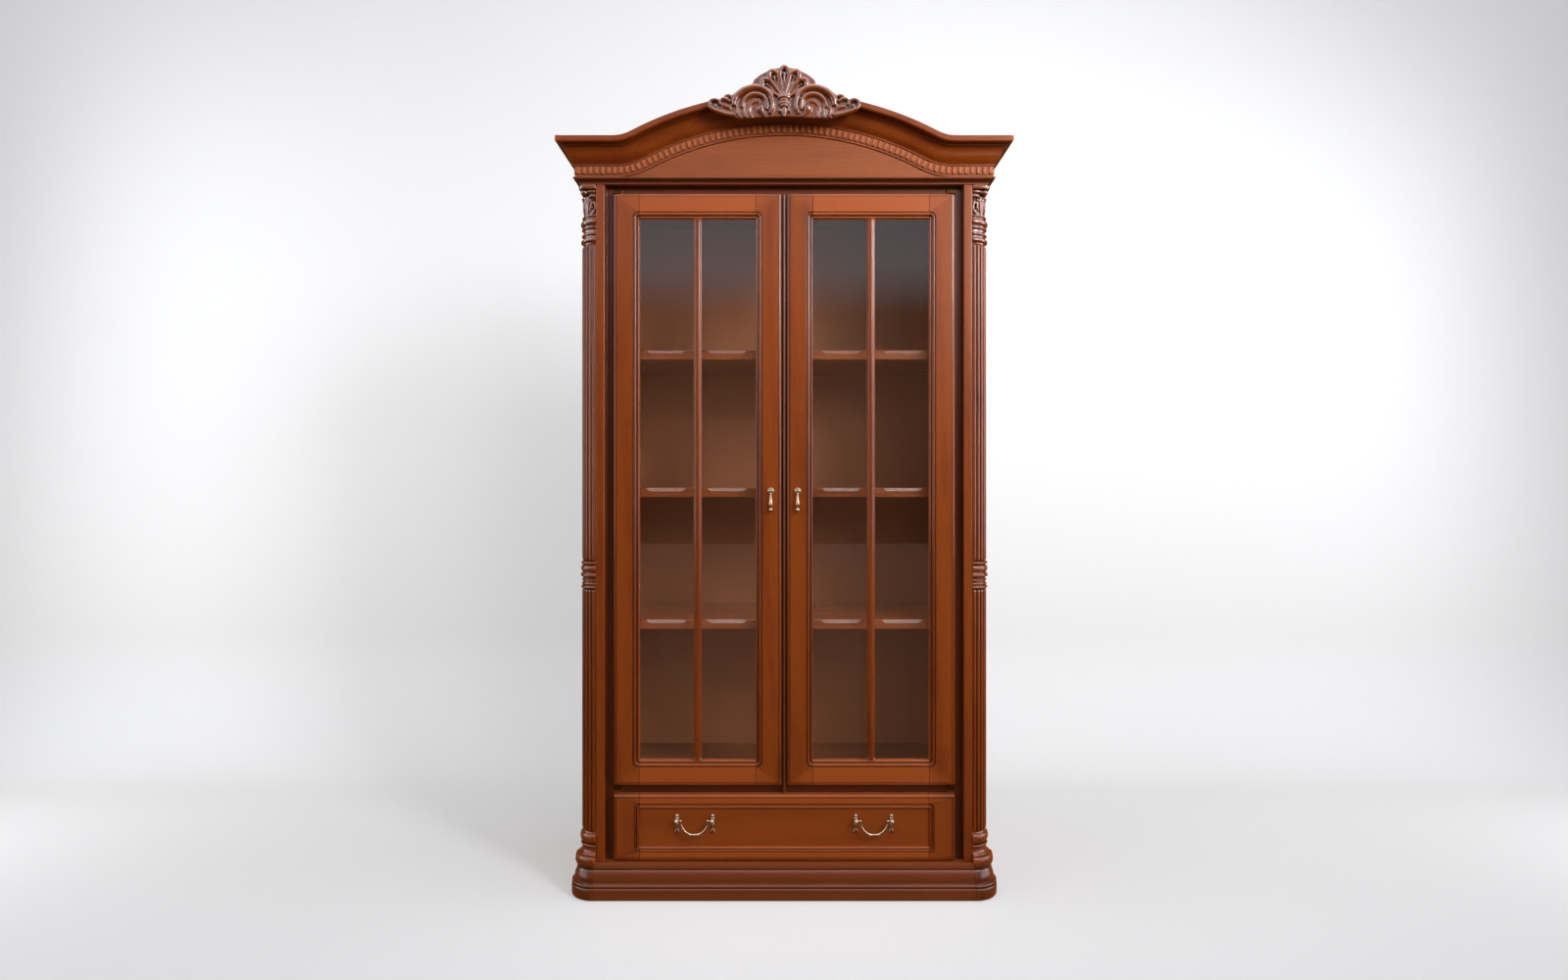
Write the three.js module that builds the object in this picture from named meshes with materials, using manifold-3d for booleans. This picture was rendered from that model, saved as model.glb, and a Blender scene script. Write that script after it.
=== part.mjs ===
// China cabinet: two glazed doors over one wide drawer, quarter-round reeded corner columns,
// a moulded plinth and an arched cornice with dentils and a carved crest.
// Millimetres. +Z is up, the cabinet faces -Y, and the origin is the middle of its footprint.
import * as THREE from 'three';
import { mergeVertices } from 'three/addons/utils/BufferGeometryUtils.js';
import Module from 'manifold-3d';

// ---------------------------------------------------------------- driving dimensions
const CASE_WIDTH = 1108;            // over the two corner columns
const CASE_DEPTH = 400;             // back to the door faces
const PLINTH_HEIGHT = 95;
const DRAWER_HEIGHT = 178;          // drawer front
const MID_BAND = 24;                // rail seen between the drawer and the doors
const DOOR_HEIGHT = 1598;
const TOP_BAND = 23;                // rail seen over the doors
const TOP_BOARD = 18;
const MOULDING_HEIGHT = 66;         // cornice moulding, square to its top line
const FRIEZE_HEIGHT = 28;           // dentil band under it
const ARCH_RISE = 112;
const CREST_RISE = 70;              // carving above the arch

const GAP = 0.3;                    // glue-line clearance between fixed pieces
const DRAWER_REVEAL = 3;            // plinth to drawer front
const FRONT_THICK = 22;             // doors and drawer front
const FRONT_CLEARANCE = 3;          // behind them, to the face frame
const FRAME_THICK = 20;
const BOARD = 18;
const FLOOR_THICK = 22;
const BOTTOM_THICK = 13.7;
const BACK_PANEL = 8;

const PLINTH_PROUD = 25;
const PLINTH_CORNER_R = 66;
const PLINTH_RAIL = 60;
const COLUMN_R = 46;
const BAND_RISE = 735;              // plinth to the turned band at the columns' middle
const CAPITAL_HEIGHT = 159;
const REEDS = 5;
const REED_DEPTH = 4;
const PILASTER_WIDTH = 24;
const DOOR_EDGE_REVEAL = 23;        // pilaster to the door edge
const POST_OVERLAP = 21;            // post seen from inside, behind the door edge
const POST_DEPTH = 45;              // behind the face frame's front

const CENTRE_GAP = 14;              // between the two doors
const CENTRE_BEAD = 6.6;
const CENTRE_STILE = 40;
const STILE_WIDTH = 70;
const DOOR_RAIL = 68;
const SIGHT_MOULDING = 18;
const GLASS_THICK = 4;
const GLASS_DEPTH = 9.9;            // door face to the glass
const GLASS_LAP = 6;                // glass edge held in the frame
const GLAZING_BAR = 21;

const SHELF_THICK = 25;
const SHELF_RISES = [441, 803, 1181];  // display floor to the top of each shelf
const HOUSING = 6;                  // shelf let into the side panel
const CHAMFER = 9;
const CHAMFER_STOP = 25;            // pane edge to the end of the chamfer

const CORNICE_PROUD = 51;
const ARCH_SHOULDER = 178;          // level length at each end of the cornice
const VALLEY_R = 100;
const FRIEZE_PROUD = 8;
const DENTIL_PROUD = 11;
const DENTIL_PITCH = 16.3;
const DENTIL_WIDTH = 9;
const DENTIL_STRIP = 7;             // plain band under the dentils
const CORNICE_BODY = 22;            // wood behind the column faces
const CREST_PROUD = 18;             // in front of the cornice fascia

const PIVOT_INSET = 8;              // pin to the door's face and to its edge
const PIVOT_R = 2.9;
const PIVOT_HOLE_R = 3;
const PIVOT_LENGTH = 11;
const BRACKET_WIDTH = 22;
const BRACKET_THICK = 3;
const BRACKET_FOOT = 17;

const PANEL_SIDE = 71;              // drawer front's edge to its sunk panel, at the ends
const PANEL_MARGIN = 38;            // and above and below
const PANEL_DEPTH = 6;
const PULL_CENTRES = 241;           // drawer pulls from the middle
const PULL_SPACING = 96;
const PULL_RISE = 112;              // drawer front's foot to the pull posts
const PULL_STANDOFF = 12;
const PULL_KNUCKLE_R = 6.5;
const BAIL_ROD_R = 3.2;
const BAIL_DROP = 38;
const BAIL_PIN_R = 1.8;
const BAIL_HOLE_R = 2.1;

const DROP_X = 36;
const DROP_RISE = 795;              // door's foot to the pull
const DROP_LENGTH = 58;
const DROP_STANDOFF = 10;

// ---------------------------------------------------------------- derived planes
const CASE_HALF = CASE_WIDTH / 2;
const CORNICE_HALF = CASE_HALF + CORNICE_PROUD;
const BACK_Y = (CASE_DEPTH + CORNICE_PROUD + CREST_PROUD) / 2;
const FACE_Y = BACK_Y - CASE_DEPTH;
const FRAME_Y = FACE_Y + FRONT_THICK + FRONT_CLEARANCE;
const FASCIA_Y = FACE_Y - CORNICE_PROUD;
const FRAME_BACK_Y = FRAME_Y + FRAME_THICK;
const POST_BACK_Y = FRAME_Y + POST_DEPTH;
const SHELF_Y = FRAME_BACK_Y;
const PANEL_FRONT_Y = BACK_Y - BACK_PANEL;

const COLUMN_X = CASE_HALF - COLUMN_R;
const COLUMN_Y = FACE_Y + COLUMN_R;
const PILASTER_X = COLUMN_X - PILASTER_WIDTH;
const DOOR_OUT = PILASTER_X - DOOR_EDGE_REVEAL;
const DOOR_IN = CENTRE_GAP / 2;
const POST_IN = DOOR_OUT - POST_OVERLAP;
const SIDE_OUT = CASE_HALF - 4;
const SIDE_IN = SIDE_OUT - BOARD;

const DRAWER_Z = PLINTH_HEIGHT + DRAWER_REVEAL;
const DRAWER_TOP = DRAWER_Z + DRAWER_HEIGHT;
const DOOR_Z = DRAWER_TOP + MID_BAND;
const DOOR_TOP = DOOR_Z + DOOR_HEIGHT;
const POST_TOP = DOOR_TOP + TOP_BAND;
const FRIEZE_FOOT = POST_TOP + TOP_BOARD;
const CORNICE_HEIGHT = MOULDING_HEIGHT + FRIEZE_HEIGHT;
const CORNICE_TOP = FRIEZE_FOOT + CORNICE_HEIGHT;
const ARCH_TOP = CORNICE_TOP + ARCH_RISE;
const CREST_TOP = ARCH_TOP + CREST_RISE;

const SIGHT_IN = DOOR_IN + STILE_WIDTH;
const SIGHT_OUT = DOOR_OUT - STILE_WIDTH;
const SIGHT_Z = DOOR_Z + DOOR_RAIL;
const SIGHT_TOP = DOOR_TOP - DOOR_RAIL;
const BAR_X = (SIGHT_IN + SIGHT_OUT) / 2;
const SHELF_TOPS = SHELF_RISES.map((rise) => DOOR_Z + rise);
const CASE_Z = PLINTH_HEIGHT + GAP;
const BOTTOM_BOARD_TOP = CASE_Z + BOTTOM_THICK;
const PULL_HEIGHT = DRAWER_Z + PULL_RISE;
const DROP_Z = DOOR_Z + DROP_RISE;

// ---------------------------------------------------------------- materials
function finish(color, roughness, metalness = 0, opacity = 1) {
  return new THREE.MeshStandardMaterial({ color, roughness, metalness, opacity, transparent: opacity < 1 });
}
const cherry = finish(0x8a3d0c, 0.28);
const cherryDark = finish(0x6b2c0a, 0.3);
const panelWood = finish(0x96523a, 0.35);
const inside = finish(0x5a2c12, 0.5);
const drawerWood = finish(0xb98a5a, 0.6);
const glass = finish(0xcfd8d6, 0.05, 0, 0.25);
const pullMetal = finish(0xa8947c, 0.35, 0.9);
const hingeMetal = finish(0x8a7448, 0.4, 0.9);

// ---------------------------------------------------------------- solids
const wasm = await Module();
wasm.setup();

// Welds a geometry into a closed solid whose faces look outward.
function solid(geometry) {
  const bare = geometry.clone();
  for (const name of Object.keys(bare.attributes)) {
    if (name !== 'position') bare.deleteAttribute(name);
  }
  const welded = mergeVertices(bare, 1e-4);
  const at = welded.attributes.position;
  const corner = [new THREE.Vector3(), new THREE.Vector3(), new THREE.Vector3()];
  const triangles = [];
  let volume = 0;
  for (let i = 0; i < welded.index.count; i += 3) {
    const face = [0, 1, 2].map((k) => welded.index.getX(i + k));
    if (new Set(face).size < 3) continue;
    face.forEach((v, k) => corner[k].fromBufferAttribute(at, v));
    volume += corner[0].dot(corner[1].clone().cross(corner[2]));
    triangles.push(...face);
  }
  if (volume < 0) triangles.reverse();
  return new wasm.Manifold(new wasm.Mesh({
    numProp: 3,
    vertProperties: Float32Array.from(at.array),
    triVerts: Uint32Array.from(triangles),
  }));
}

function geometryOf(body) {
  const mesh = body.getMesh();
  const geometry = new THREE.BufferGeometry();
  geometry.setAttribute('position', new THREE.BufferAttribute(mesh.vertProperties, 3));
  geometry.setIndex(new THREE.BufferAttribute(mesh.triVerts, 1));
  return geometry;
}

function box(x0, x1, y0, y1, z0, z1) {
  const block = new THREE.BoxGeometry(x1 - x0, y1 - y0, z1 - z0);
  return solid(block.translate((x0 + x1) / 2, (y0 + y1) / 2, (z0 + z1) / 2));
}

function shapeOf(points) {
  return new THREE.Shape(points.map(([u, v]) => new THREE.Vector2(u, v)));
}

// Plan outline (x, y) carried up from z0 to z1.
function prismZ(points, z0, z1) {
  const body = new THREE.ExtrudeGeometry(shapeOf(points), { depth: z1 - z0, bevelEnabled: false });
  return solid(body.translate(0, 0, z0));
}

// Section (y, z) carried along x.
function prismX(points, x0, x1) {
  const body = new THREE.ExtrudeGeometry(shapeOf(points), { depth: x1 - x0, bevelEnabled: false });
  const turn = new THREE.Matrix4().makeBasis(
    new THREE.Vector3(0, 1, 0), new THREE.Vector3(0, 0, 1), new THREE.Vector3(1, 0, 0));
  return solid(body.applyMatrix4(turn).translate(x0, 0, 0));
}

// Front outline (x, z) carried from its back at y1 forward to y0.
function frontShape(shape, y0, y1, settings = {}) {
  const body = new THREE.ExtrudeGeometry(shape, {
    depth: y1 - y0, bevelEnabled: false, curveSegments: 5, ...settings,
  });
  const turn = new THREE.Matrix4().makeBasis(
    new THREE.Vector3(1, 0, 0), new THREE.Vector3(0, 0, 1), new THREE.Vector3(0, -1, 0));
  return solid(body.applyMatrix4(turn).translate(0, y1, 0));
}

// Rectangular board facing -Y whose front arris is rounded all round.
function slab(x0, x1, z0, z1, y0, y1, edge) {
  const face = shapeOf([
    [x0 + edge, z0 + edge], [x1 - edge, z0 + edge], [x1 - edge, z1 - edge], [x0 + edge, z1 - edge],
  ]);
  const board = frontShape(face, y0 + edge, y1 + edge, {
    bevelEnabled: true, bevelThickness: edge, bevelSize: edge, bevelSegments: 3,
  });
  return board.subtract(box(x0 - 1, x1 + 1, y1, y1 + 4 * edge, z0 - 1, z1 + 1));
}

function rectangle(x0, x1, z0, z1, radius) {
  const shape = new THREE.Shape();
  shape.moveTo(x0 + radius, z0);
  shape.lineTo(x1 - radius, z0);
  shape.quadraticCurveTo(x1, z0, x1, z0 + radius);
  shape.lineTo(x1, z1 - radius);
  shape.quadraticCurveTo(x1, z1, x1 - radius, z1);
  shape.lineTo(x0 + radius, z1);
  shape.quadraticCurveTo(x0, z1, x0, z1 - radius);
  shape.lineTo(x0, z0 + radius);
  shape.quadraticCurveTo(x0, z0, x0 + radius, z0);
  return shape;
}

// Turned solid about a vertical axis through (x, y); the profile is [radius, z] from the foot up.
function turned(profile, x, y, segments = 24) {
  const ends = [[0, profile[0][1]], ...profile, [0, profile[profile.length - 1][1]]];
  const body = new THREE.LatheGeometry(ends.map(([r, z]) => new THREE.Vector2(r, z)), segments);
  return solid(body.rotateX(Math.PI / 2).translate(x, y, 0));
}

// Turned solid whose axis runs along -Y out of a face; the profile is [radius, distance out].
function turnedForward(profile, x, y, z, segments = 12) {
  const ends = [[0, profile[0][1]], ...profile, [0, profile[profile.length - 1][1]]];
  const body = new THREE.LatheGeometry(ends.map(([r, d]) => new THREE.Vector2(r, -d)), segments);
  return solid(body.translate(x, y, z));
}

function rodX(radius, x0, x1, y, z, segments = 16) {
  const rod = new THREE.CylinderGeometry(radius, radius, x1 - x0, segments);
  return solid(rod.rotateZ(Math.PI / 2).translate((x0 + x1) / 2, y, z));
}

function rodZ(radius, x, y, z0, z1, segments = 24) {
  const rod = new THREE.CylinderGeometry(radius, radius, z1 - z0, segments);
  return solid(rod.rotateX(Math.PI / 2).translate(x, y, (z0 + z1) / 2));
}

// ---------------------------------------------------------------- the scene
const cabinet = new THREE.Group();

function group(parent, x, y, z) {
  const made = new THREE.Group();
  made.position.set(x, y, z);
  parent.add(made);
  return made;
}

// Adds a solid that was drawn in cabinet coordinates to a group standing anywhere in the cabinet.
function add(owner, name, body, material) {
  const mesh = new THREE.Mesh(geometryOf(body), material.clone());
  mesh.name = name;
  const { x, y, z } = owner.position;
  mesh.geometry.translate(-x, -y, -z);
  owner.add(mesh);
}

function mirrored(body) {
  return solid(geometryOf(body).scale(-1, 1, 1));
}

// A right-hand piece and its mirror image on the left.
function addPair(name, body, material) {
  add(cabinet, `${name}_right`, body, material);
  add(cabinet, `${name}_left`, mirrored(body), material);
}

// ---------------------------------------------------------------- plinth
// Outward step at each height, from the flat foot to the torus under the case.
const PLINTH_PROFILE = [
  [0, 0], [0, 29], [-1, 31], [-4, 33], [-4, 36], [-2, 38], [-2, 42], [-5, 44], [-7, 49], [-10, 58],
  [-13, 70], [-16, 80], [-16, 82], [-13.5, 84], [-12, 88.5], [-13.5, 93], [-16, PLINTH_HEIGHT],
];
const plinthFront = FACE_Y - PLINTH_PROUD;
const plinthHalf = CASE_HALF + PLINTH_PROUD;
const cornerX = plinthHalf - PLINTH_CORNER_R;
const cornerY = plinthFront + PLINTH_CORNER_R;

const frontSection = PLINTH_PROFILE.map(([out, z]) => [plinthFront - out, z]);
frontSection.push([plinthFront + PLINTH_RAIL, PLINTH_HEIGHT], [plinthFront + PLINTH_RAIL, 0]);
add(cabinet, 'plinth_front', prismX(frontSection, -cornerX + GAP, cornerX - GAP), cherry);

const cornerRound = turned(PLINTH_PROFILE.map(([out, z]) => [PLINTH_CORNER_R + out, z]), cornerX, cornerY);
const cornerQuarter = box(cornerX, plinthHalf + 1, plinthFront - 1, cornerY, -1, PLINTH_HEIGHT + 1);
addPair('plinth_corner', cornerRound.intersect(cornerQuarter), cherry);

const sideSection = PLINTH_PROFILE.map(([out, z]) => [plinthHalf + out, z]);
sideSection.push([plinthHalf - PLINTH_RAIL, PLINTH_HEIGHT], [plinthHalf - PLINTH_RAIL, 0]);
const sideRun = new THREE.ExtrudeGeometry(shapeOf(sideSection), {
  depth: BACK_Y - cornerY - GAP,
  bevelEnabled: false,
});
const alongY = new THREE.Matrix4().makeBasis(
  new THREE.Vector3(1, 0, 0), new THREE.Vector3(0, 0, 1), new THREE.Vector3(0, -1, 0));
addPair('plinth_side', solid(sideRun.applyMatrix4(alongY).translate(0, BACK_Y, 0)), cherry);

// ---------------------------------------------------------------- case
const postPlan = [
  [POST_IN, FRAME_Y], [PILASTER_X, FRAME_Y], [PILASTER_X, FACE_Y], [COLUMN_X - GAP, FACE_Y],
  [COLUMN_X - GAP, COLUMN_Y + GAP], [SIDE_OUT, COLUMN_Y + GAP], [SIDE_OUT, POST_BACK_Y],
  [POST_IN, POST_BACK_Y],
];
addPair('corner_post', prismZ(postPlan, CASE_Z, POST_TOP - GAP), cherry);

// Board across the case between the side panels, cut round both corner posts.
function caseBoard(frontY, z0, z1, reach) {
  const inner = POST_IN - GAP;
  const behind = POST_BACK_Y + GAP;
  const back = PANEL_FRONT_Y - GAP;
  return prismZ([
    [-inner, frontY], [inner, frontY], [inner, behind], [reach, behind],
    [reach, back], [-reach, back], [-reach, behind], [-inner, behind],
  ], z0, z1);
}

const betweenSides = SIDE_IN - GAP;
const shelfReach = SIDE_IN + HOUSING - GAP;
add(cabinet, 'bottom_board', caseBoard(FRAME_Y, CASE_Z, BOTTOM_BOARD_TOP, betweenSides), inside);
add(cabinet, 'display_floor',
  caseBoard(FRAME_BACK_Y + GAP, DOOR_Z - FLOOR_THICK, DOOR_Z, betweenSides), inside);

let sidePanel = box(SIDE_IN, SIDE_OUT, POST_BACK_Y + GAP, BACK_Y, CASE_Z, POST_TOP - GAP);
for (const top of SHELF_TOPS) {
  sidePanel = sidePanel.subtract(box(SIDE_IN - 1, SIDE_IN + HOUSING, POST_BACK_Y - 1, PANEL_FRONT_Y,
    top - SHELF_THICK - GAP, top + GAP));
}
addPair('side_panel', sidePanel, cherry);
add(cabinet, 'back_panel',
  box(-betweenSides, betweenSides, PANEL_FRONT_Y, BACK_Y, CASE_Z, POST_TOP - GAP), inside);

// Shelves, each with stopped chamfers along the front edge.
const halfBar = GLAZING_BAR / 2;
const CHAMFER_RUNS = [
  [SIGHT_IN + CHAMFER_STOP, BAR_X - halfBar - CHAMFER_STOP / 2],
  [BAR_X + halfBar + CHAMFER_STOP, SIGHT_OUT - CHAMFER_STOP / 2],
];
['lower', 'middle', 'upper'].forEach((name, i) => {
  const top = SHELF_TOPS[i];
  let shelf = caseBoard(SHELF_Y, top - SHELF_THICK, top, shelfReach);
  for (const [from, to] of CHAMFER_RUNS) {
    const section = [[SHELF_Y - 1, top + 1], [SHELF_Y - 1, top - CHAMFER], [SHELF_Y + CHAMFER, top + 1]];
    shelf = shelf.subtract(prismX(section, from, to)).subtract(prismX(section, -to, -from));
  }
  add(cabinet, `shelf_${name}`, shelf, cherry);
});

const RAIL_BEHIND_DRAWER = 14;
const RAIL_BEHIND_DOORS = 28;
const railHalf = POST_IN - GAP;
const topRailFoot = DOOR_TOP - RAIL_BEHIND_DOORS;
add(cabinet, 'lower_rail',
  box(-railHalf, railHalf, FRAME_Y, FRAME_BACK_Y, DRAWER_TOP - RAIL_BEHIND_DRAWER, DOOR_Z), cherryDark);
add(cabinet, 'top_rail',
  box(-railHalf, railHalf, FRAME_Y, FRAME_BACK_Y, topRailFoot, POST_TOP - GAP), cherryDark);

const beadHalf = CENTRE_BEAD / 2;
const stileHalf = CENTRE_STILE / 2;
const beadFront = FACE_Y + 3.4;
const beadBack = FRAME_Y - GAP;
const centreBead = prismZ([
  [-beadHalf, beadBack], [-beadHalf, beadFront + 1.6], [-beadHalf / 2, beadFront],
  [beadHalf / 2, beadFront], [beadHalf, beadFront + 1.6], [beadHalf, beadBack],
], DRAWER_TOP + 1, DOOR_TOP - 1);
const centrePost = box(-stileHalf, stileHalf, beadBack - 0.1, FRAME_BACK_Y - 2, DOOR_Z + GAP,
  topRailFoot - GAP);
add(cabinet, 'centre_stile', centreBead.add(centrePost), cherryDark);

// Moulded top board: each layer is a plan rectangle, stepping out under the frieze.
const TOP_BOARD_STEPS = [[-1, 0, 4], [4, 4, 8], [8, 8, 12], [13, 12, TOP_BOARD]];
let topBoard = null;
for (const [proud, from, to] of TOP_BOARD_STEPS) {
  const half = CASE_HALF + proud;
  const layer = box(-half, half, FACE_Y - proud, BACK_Y, POST_TOP + from, POST_TOP + to);
  topBoard = topBoard ? topBoard.add(layer) : layer;
}
add(cabinet, 'top_board', topBoard, cherryDark);

// ---------------------------------------------------------------- corner columns
// Turned profiles are [step out from the shaft, height over the profile's foot].
const BASE_PROFILE = [
  [4, 0], [4, 15], [-2, 21], [-2.5, 26], [1.5, 35], [5, 44], [5, 54], [1.5, 63], [0.5, 65],
  [0.5, 77], [-5, 78],
];
const BAND_PROFILE = [
  [-5, 0], [1.5, 1], [1.5, 6], [4.5, 10], [4.5, 19], [0.5, 25], [2.5, 28], [2.5, 32], [0.5, 37],
  [0.5, 42], [2.5, 47], [2.5, 52], [4.5, 56], [4.5, 65], [1, 70], [1, 73], [-5, 74],
];
const CAPITAL_Z = POST_TOP - GAP - CAPITAL_HEIGHT;
const turnedColumn = (profile, foot) => turned(
  profile.map(([out, rise]) => [COLUMN_R + out, foot + rise]), COLUMN_X, COLUMN_Y);
const quarter = box(COLUMN_X, CASE_HALF + 40, FACE_Y - 40, COLUMN_Y, 0, CREST_TOP);

function reededPlan() {
  const points = [[COLUMN_X, COLUMN_Y]];
  const cuts = 4;
  const total = REEDS * cuts;
  for (let i = 0; i <= total; i += 1) {
    const swell = Math.abs(Math.sin((Math.PI * i) / cuts));
    const r = COLUMN_R - REED_DEPTH * (1 - swell);
    const angle = (Math.PI / 2) * (i / total);
    points.push([COLUMN_X + r * Math.cos(angle), COLUMN_Y - r * Math.sin(angle)]);
  }
  return points;
}
const shaft = prismZ(reededPlan(), CASE_Z + 10, CAPITAL_Z - GAP);
const column = turnedColumn(BASE_PROFILE, CASE_Z)
  .add(turnedColumn(BAND_PROFILE, PLINTH_HEIGHT + BAND_RISE))
  .intersect(quarter)
  .add(shaft);
addPair('column', column, cherry);

// Capital: rings at its neck, a leafed bell, a ball at the corner under the abacus.
const CAPITAL_PROFILE = [
  [-2, 0], [2, 3], [3, 8], [2, 12], [-0.5, 14], [-0.5, 20], [2, 23], [2, 28], [-1, 31], [-1, 50],
  [1, 54], [1, 60], [-2, 64], [-2, 80], [2, 92], [6, 108], [7, 116], [2, 124], [-2, 130],
  [-2, CAPITAL_HEIGHT - 1],
];
const ABACUS = 12;
const abacusOut = CASE_HALF + 2;
const abacusCut = 10;
const capitalBell = turnedColumn(CAPITAL_PROFILE, CAPITAL_Z).intersect(quarter);
const abacus = prismZ([
  [COLUMN_X, COLUMN_Y], [COLUMN_X, FACE_Y - 2], [abacusOut - abacusCut, FACE_Y - 2],
  [abacusOut, FACE_Y - 2 + abacusCut], [abacusOut, COLUMN_Y],
], POST_TOP - ABACUS, POST_TOP - GAP);
const ball = new THREE.SphereGeometry(10, 12, 8);
const diagonal = COLUMN_R * Math.SQRT1_2;
const volute = solid(ball.translate(COLUMN_X + diagonal, COLUMN_Y - diagonal, POST_TOP - ABACUS - 11));
addPair('capital', capitalBell.add(abacus).add(volute), cherryDark);

// ---------------------------------------------------------------- arched cornice
const archSpan = CORNICE_HALF - ARCH_SHOULDER;
const archR = (archSpan ** 2 + ARCH_RISE ** 2) / (2 * ARCH_RISE);
const archCentreZ = ARCH_TOP - archR;
const valleyX = Math.sqrt((archR + VALLEY_R) ** 2 - (CORNICE_TOP + VALLEY_R - archCentreZ) ** 2);

// Height of the line that runs a distance below the cornice's top line, square to it.
function archZ(x, below) {
  const across = Math.abs(x);
  const crown = archR - below;
  const valley = VALLEY_R + below;
  const meet = (valleyX * crown) / (archR + VALLEY_R);
  if (across >= valleyX) return CORNICE_TOP - below;
  if (across <= meet) return archCentreZ + Math.sqrt(crown ** 2 - across ** 2);
  return CORNICE_TOP + VALLEY_R - Math.sqrt(valley ** 2 - (valleyX - across) ** 2);
}

class ArchLine extends THREE.Curve {
  constructor(half, below, y) {
    super();
    this.half = half;
    this.below = below;
    this.y = y;
  }

  getPoint(t, target = new THREE.Vector3()) {
    const x = (2 * t - 1) * this.half;
    return target.set(x, this.y, archZ(x, this.below));
  }
}

// Section [proud, below] swept along the arched line. The line starts and ends level, which
// keeps the section upright, so a shorter piece is swept whole and then cut.
function archSweep(section) {
  const shape = shapeOf(section.map(([proud, below]) => [below, -proud]));
  const line = new ArchLine(CORNICE_HALF, 0, FACE_Y);
  return solid(new THREE.ExtrudeGeometry(shape, { steps: 48, extrudePath: line }));
}

const corniceFoot = MOULDING_HEIGHT - GAP;
const corniceProfile = [
  [CORNICE_PROUD, 0], [CORNICE_PROUD, 13], [CORNICE_PROUD - 3, 17], [CORNICE_PROUD - 13, 18],
  [CORNICE_PROUD - 14, 23], [CORNICE_PROUD - 22, 25], [FRIEZE_PROUD + 17, MOULDING_HEIGHT - 30],
  [FRIEZE_PROUD + 14, MOULDING_HEIGHT - 18], [FRIEZE_PROUD + 7, MOULDING_HEIGHT - 6],
  [FRIEZE_PROUD + 4, MOULDING_HEIGHT - 4], [FRIEZE_PROUD + 4, corniceFoot],
  [-CORNICE_BODY, corniceFoot], [-CORNICE_BODY, 0],
];
const mitre = CORNICE_PROUD + CORNICE_BODY;
const mitrePlan = prismZ([
  [-CORNICE_HALF + GAP, FASCIA_Y], [CORNICE_HALF - GAP, FASCIA_Y],
  [CORNICE_HALF - GAP - mitre, FASCIA_Y + mitre], [-CORNICE_HALF + GAP + mitre, FASCIA_Y + mitre],
], FRIEZE_FOOT, CREST_TOP);
add(cabinet, 'cornice_front', archSweep(corniceProfile).intersect(mitrePlan), cherry);

const friezeHalf = CASE_HALF + FRIEZE_PROUD;
const friezeSection = [
  [FRIEZE_PROUD, MOULDING_HEIGHT], [FRIEZE_PROUD, CORNICE_HEIGHT - GAP],
  [-CORNICE_BODY, CORNICE_HEIGHT - GAP], [-CORNICE_BODY, MOULDING_HEIGHT],
];
const dentilTop = MOULDING_HEIGHT + 1;
const dentilHeight = FRIEZE_HEIGHT - 1 - DENTIL_STRIP;
const dentilMiddle = dentilTop + dentilHeight / 2;
const toothDepth = DENTIL_PROUD - FRIEZE_PROUD + 2;
const toothY = FACE_Y - DENTIL_PROUD + toothDepth / 2;
const dentilLine = new ArchLine(friezeHalf - DENTIL_WIDTH, dentilMiddle, toothY);
let frieze = archSweep(friezeSection)
  .intersect(box(-friezeHalf, friezeHalf, FASCIA_Y, BACK_Y, 0, CREST_TOP));
const dentilCount = Math.round(dentilLine.getLength() / DENTIL_PITCH);
for (let i = 0; i <= dentilCount; i += 1) {
  const at = dentilLine.getPointAt(i / dentilCount);
  const along = dentilLine.getTangentAt(i / dentilCount);
  const tooth = new THREE.BoxGeometry(DENTIL_WIDTH, toothDepth, dentilHeight);
  tooth.rotateY(-Math.atan2(along.z, along.x)).translate(at.x, at.y, at.z);
  frieze = frieze.add(solid(tooth));
}
add(cabinet, 'dentil_frieze', frieze, cherry);

// Returns along both sides: the same moulding, with the frieze below it in one piece.
const returnSection = corniceProfile.map(([proud, below]) => [CASE_HALF + proud, CORNICE_TOP - below]);
const returnRun = new THREE.ExtrudeGeometry(shapeOf(returnSection), {
  depth: BACK_Y - FASCIA_Y,
  bevelEnabled: false,
});
const returnPlan = prismZ([
  [CORNICE_HALF + 1, FASCIA_Y - 1], [CORNICE_HALF + 1, BACK_Y], [CASE_HALF - CORNICE_BODY - 1, BACK_Y],
  [CASE_HALF - CORNICE_BODY - 1, FASCIA_Y + mitre + 1],
], FRIEZE_FOOT, CREST_TOP);
let corniceReturn = solid(returnRun.applyMatrix4(alongY).translate(0, BACK_Y, 0)).intersect(returnPlan);
const returnFriezeY = FACE_Y + CORNICE_BODY + GAP;
corniceReturn = corniceReturn.add(box(CASE_HALF - CORNICE_BODY, friezeHalf, returnFriezeY, BACK_Y,
  FRIEZE_FOOT + GAP, CORNICE_TOP - corniceFoot));
const returnDentils = Math.floor((BACK_Y - returnFriezeY) / DENTIL_PITCH);
for (let i = 0; i < returnDentils; i += 1) {
  const y = returnFriezeY + DENTIL_PITCH * (i + 0.5);
  const top = CORNICE_TOP - dentilTop;
  corniceReturn = corniceReturn.add(box(friezeHalf - 2, CASE_HALF + DENTIL_PROUD, y - DENTIL_WIDTH / 2,
    y + DENTIL_WIDTH / 2, top - dentilHeight, top));
}
addPair('cornice_return', corniceReturn, cherry);

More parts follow.
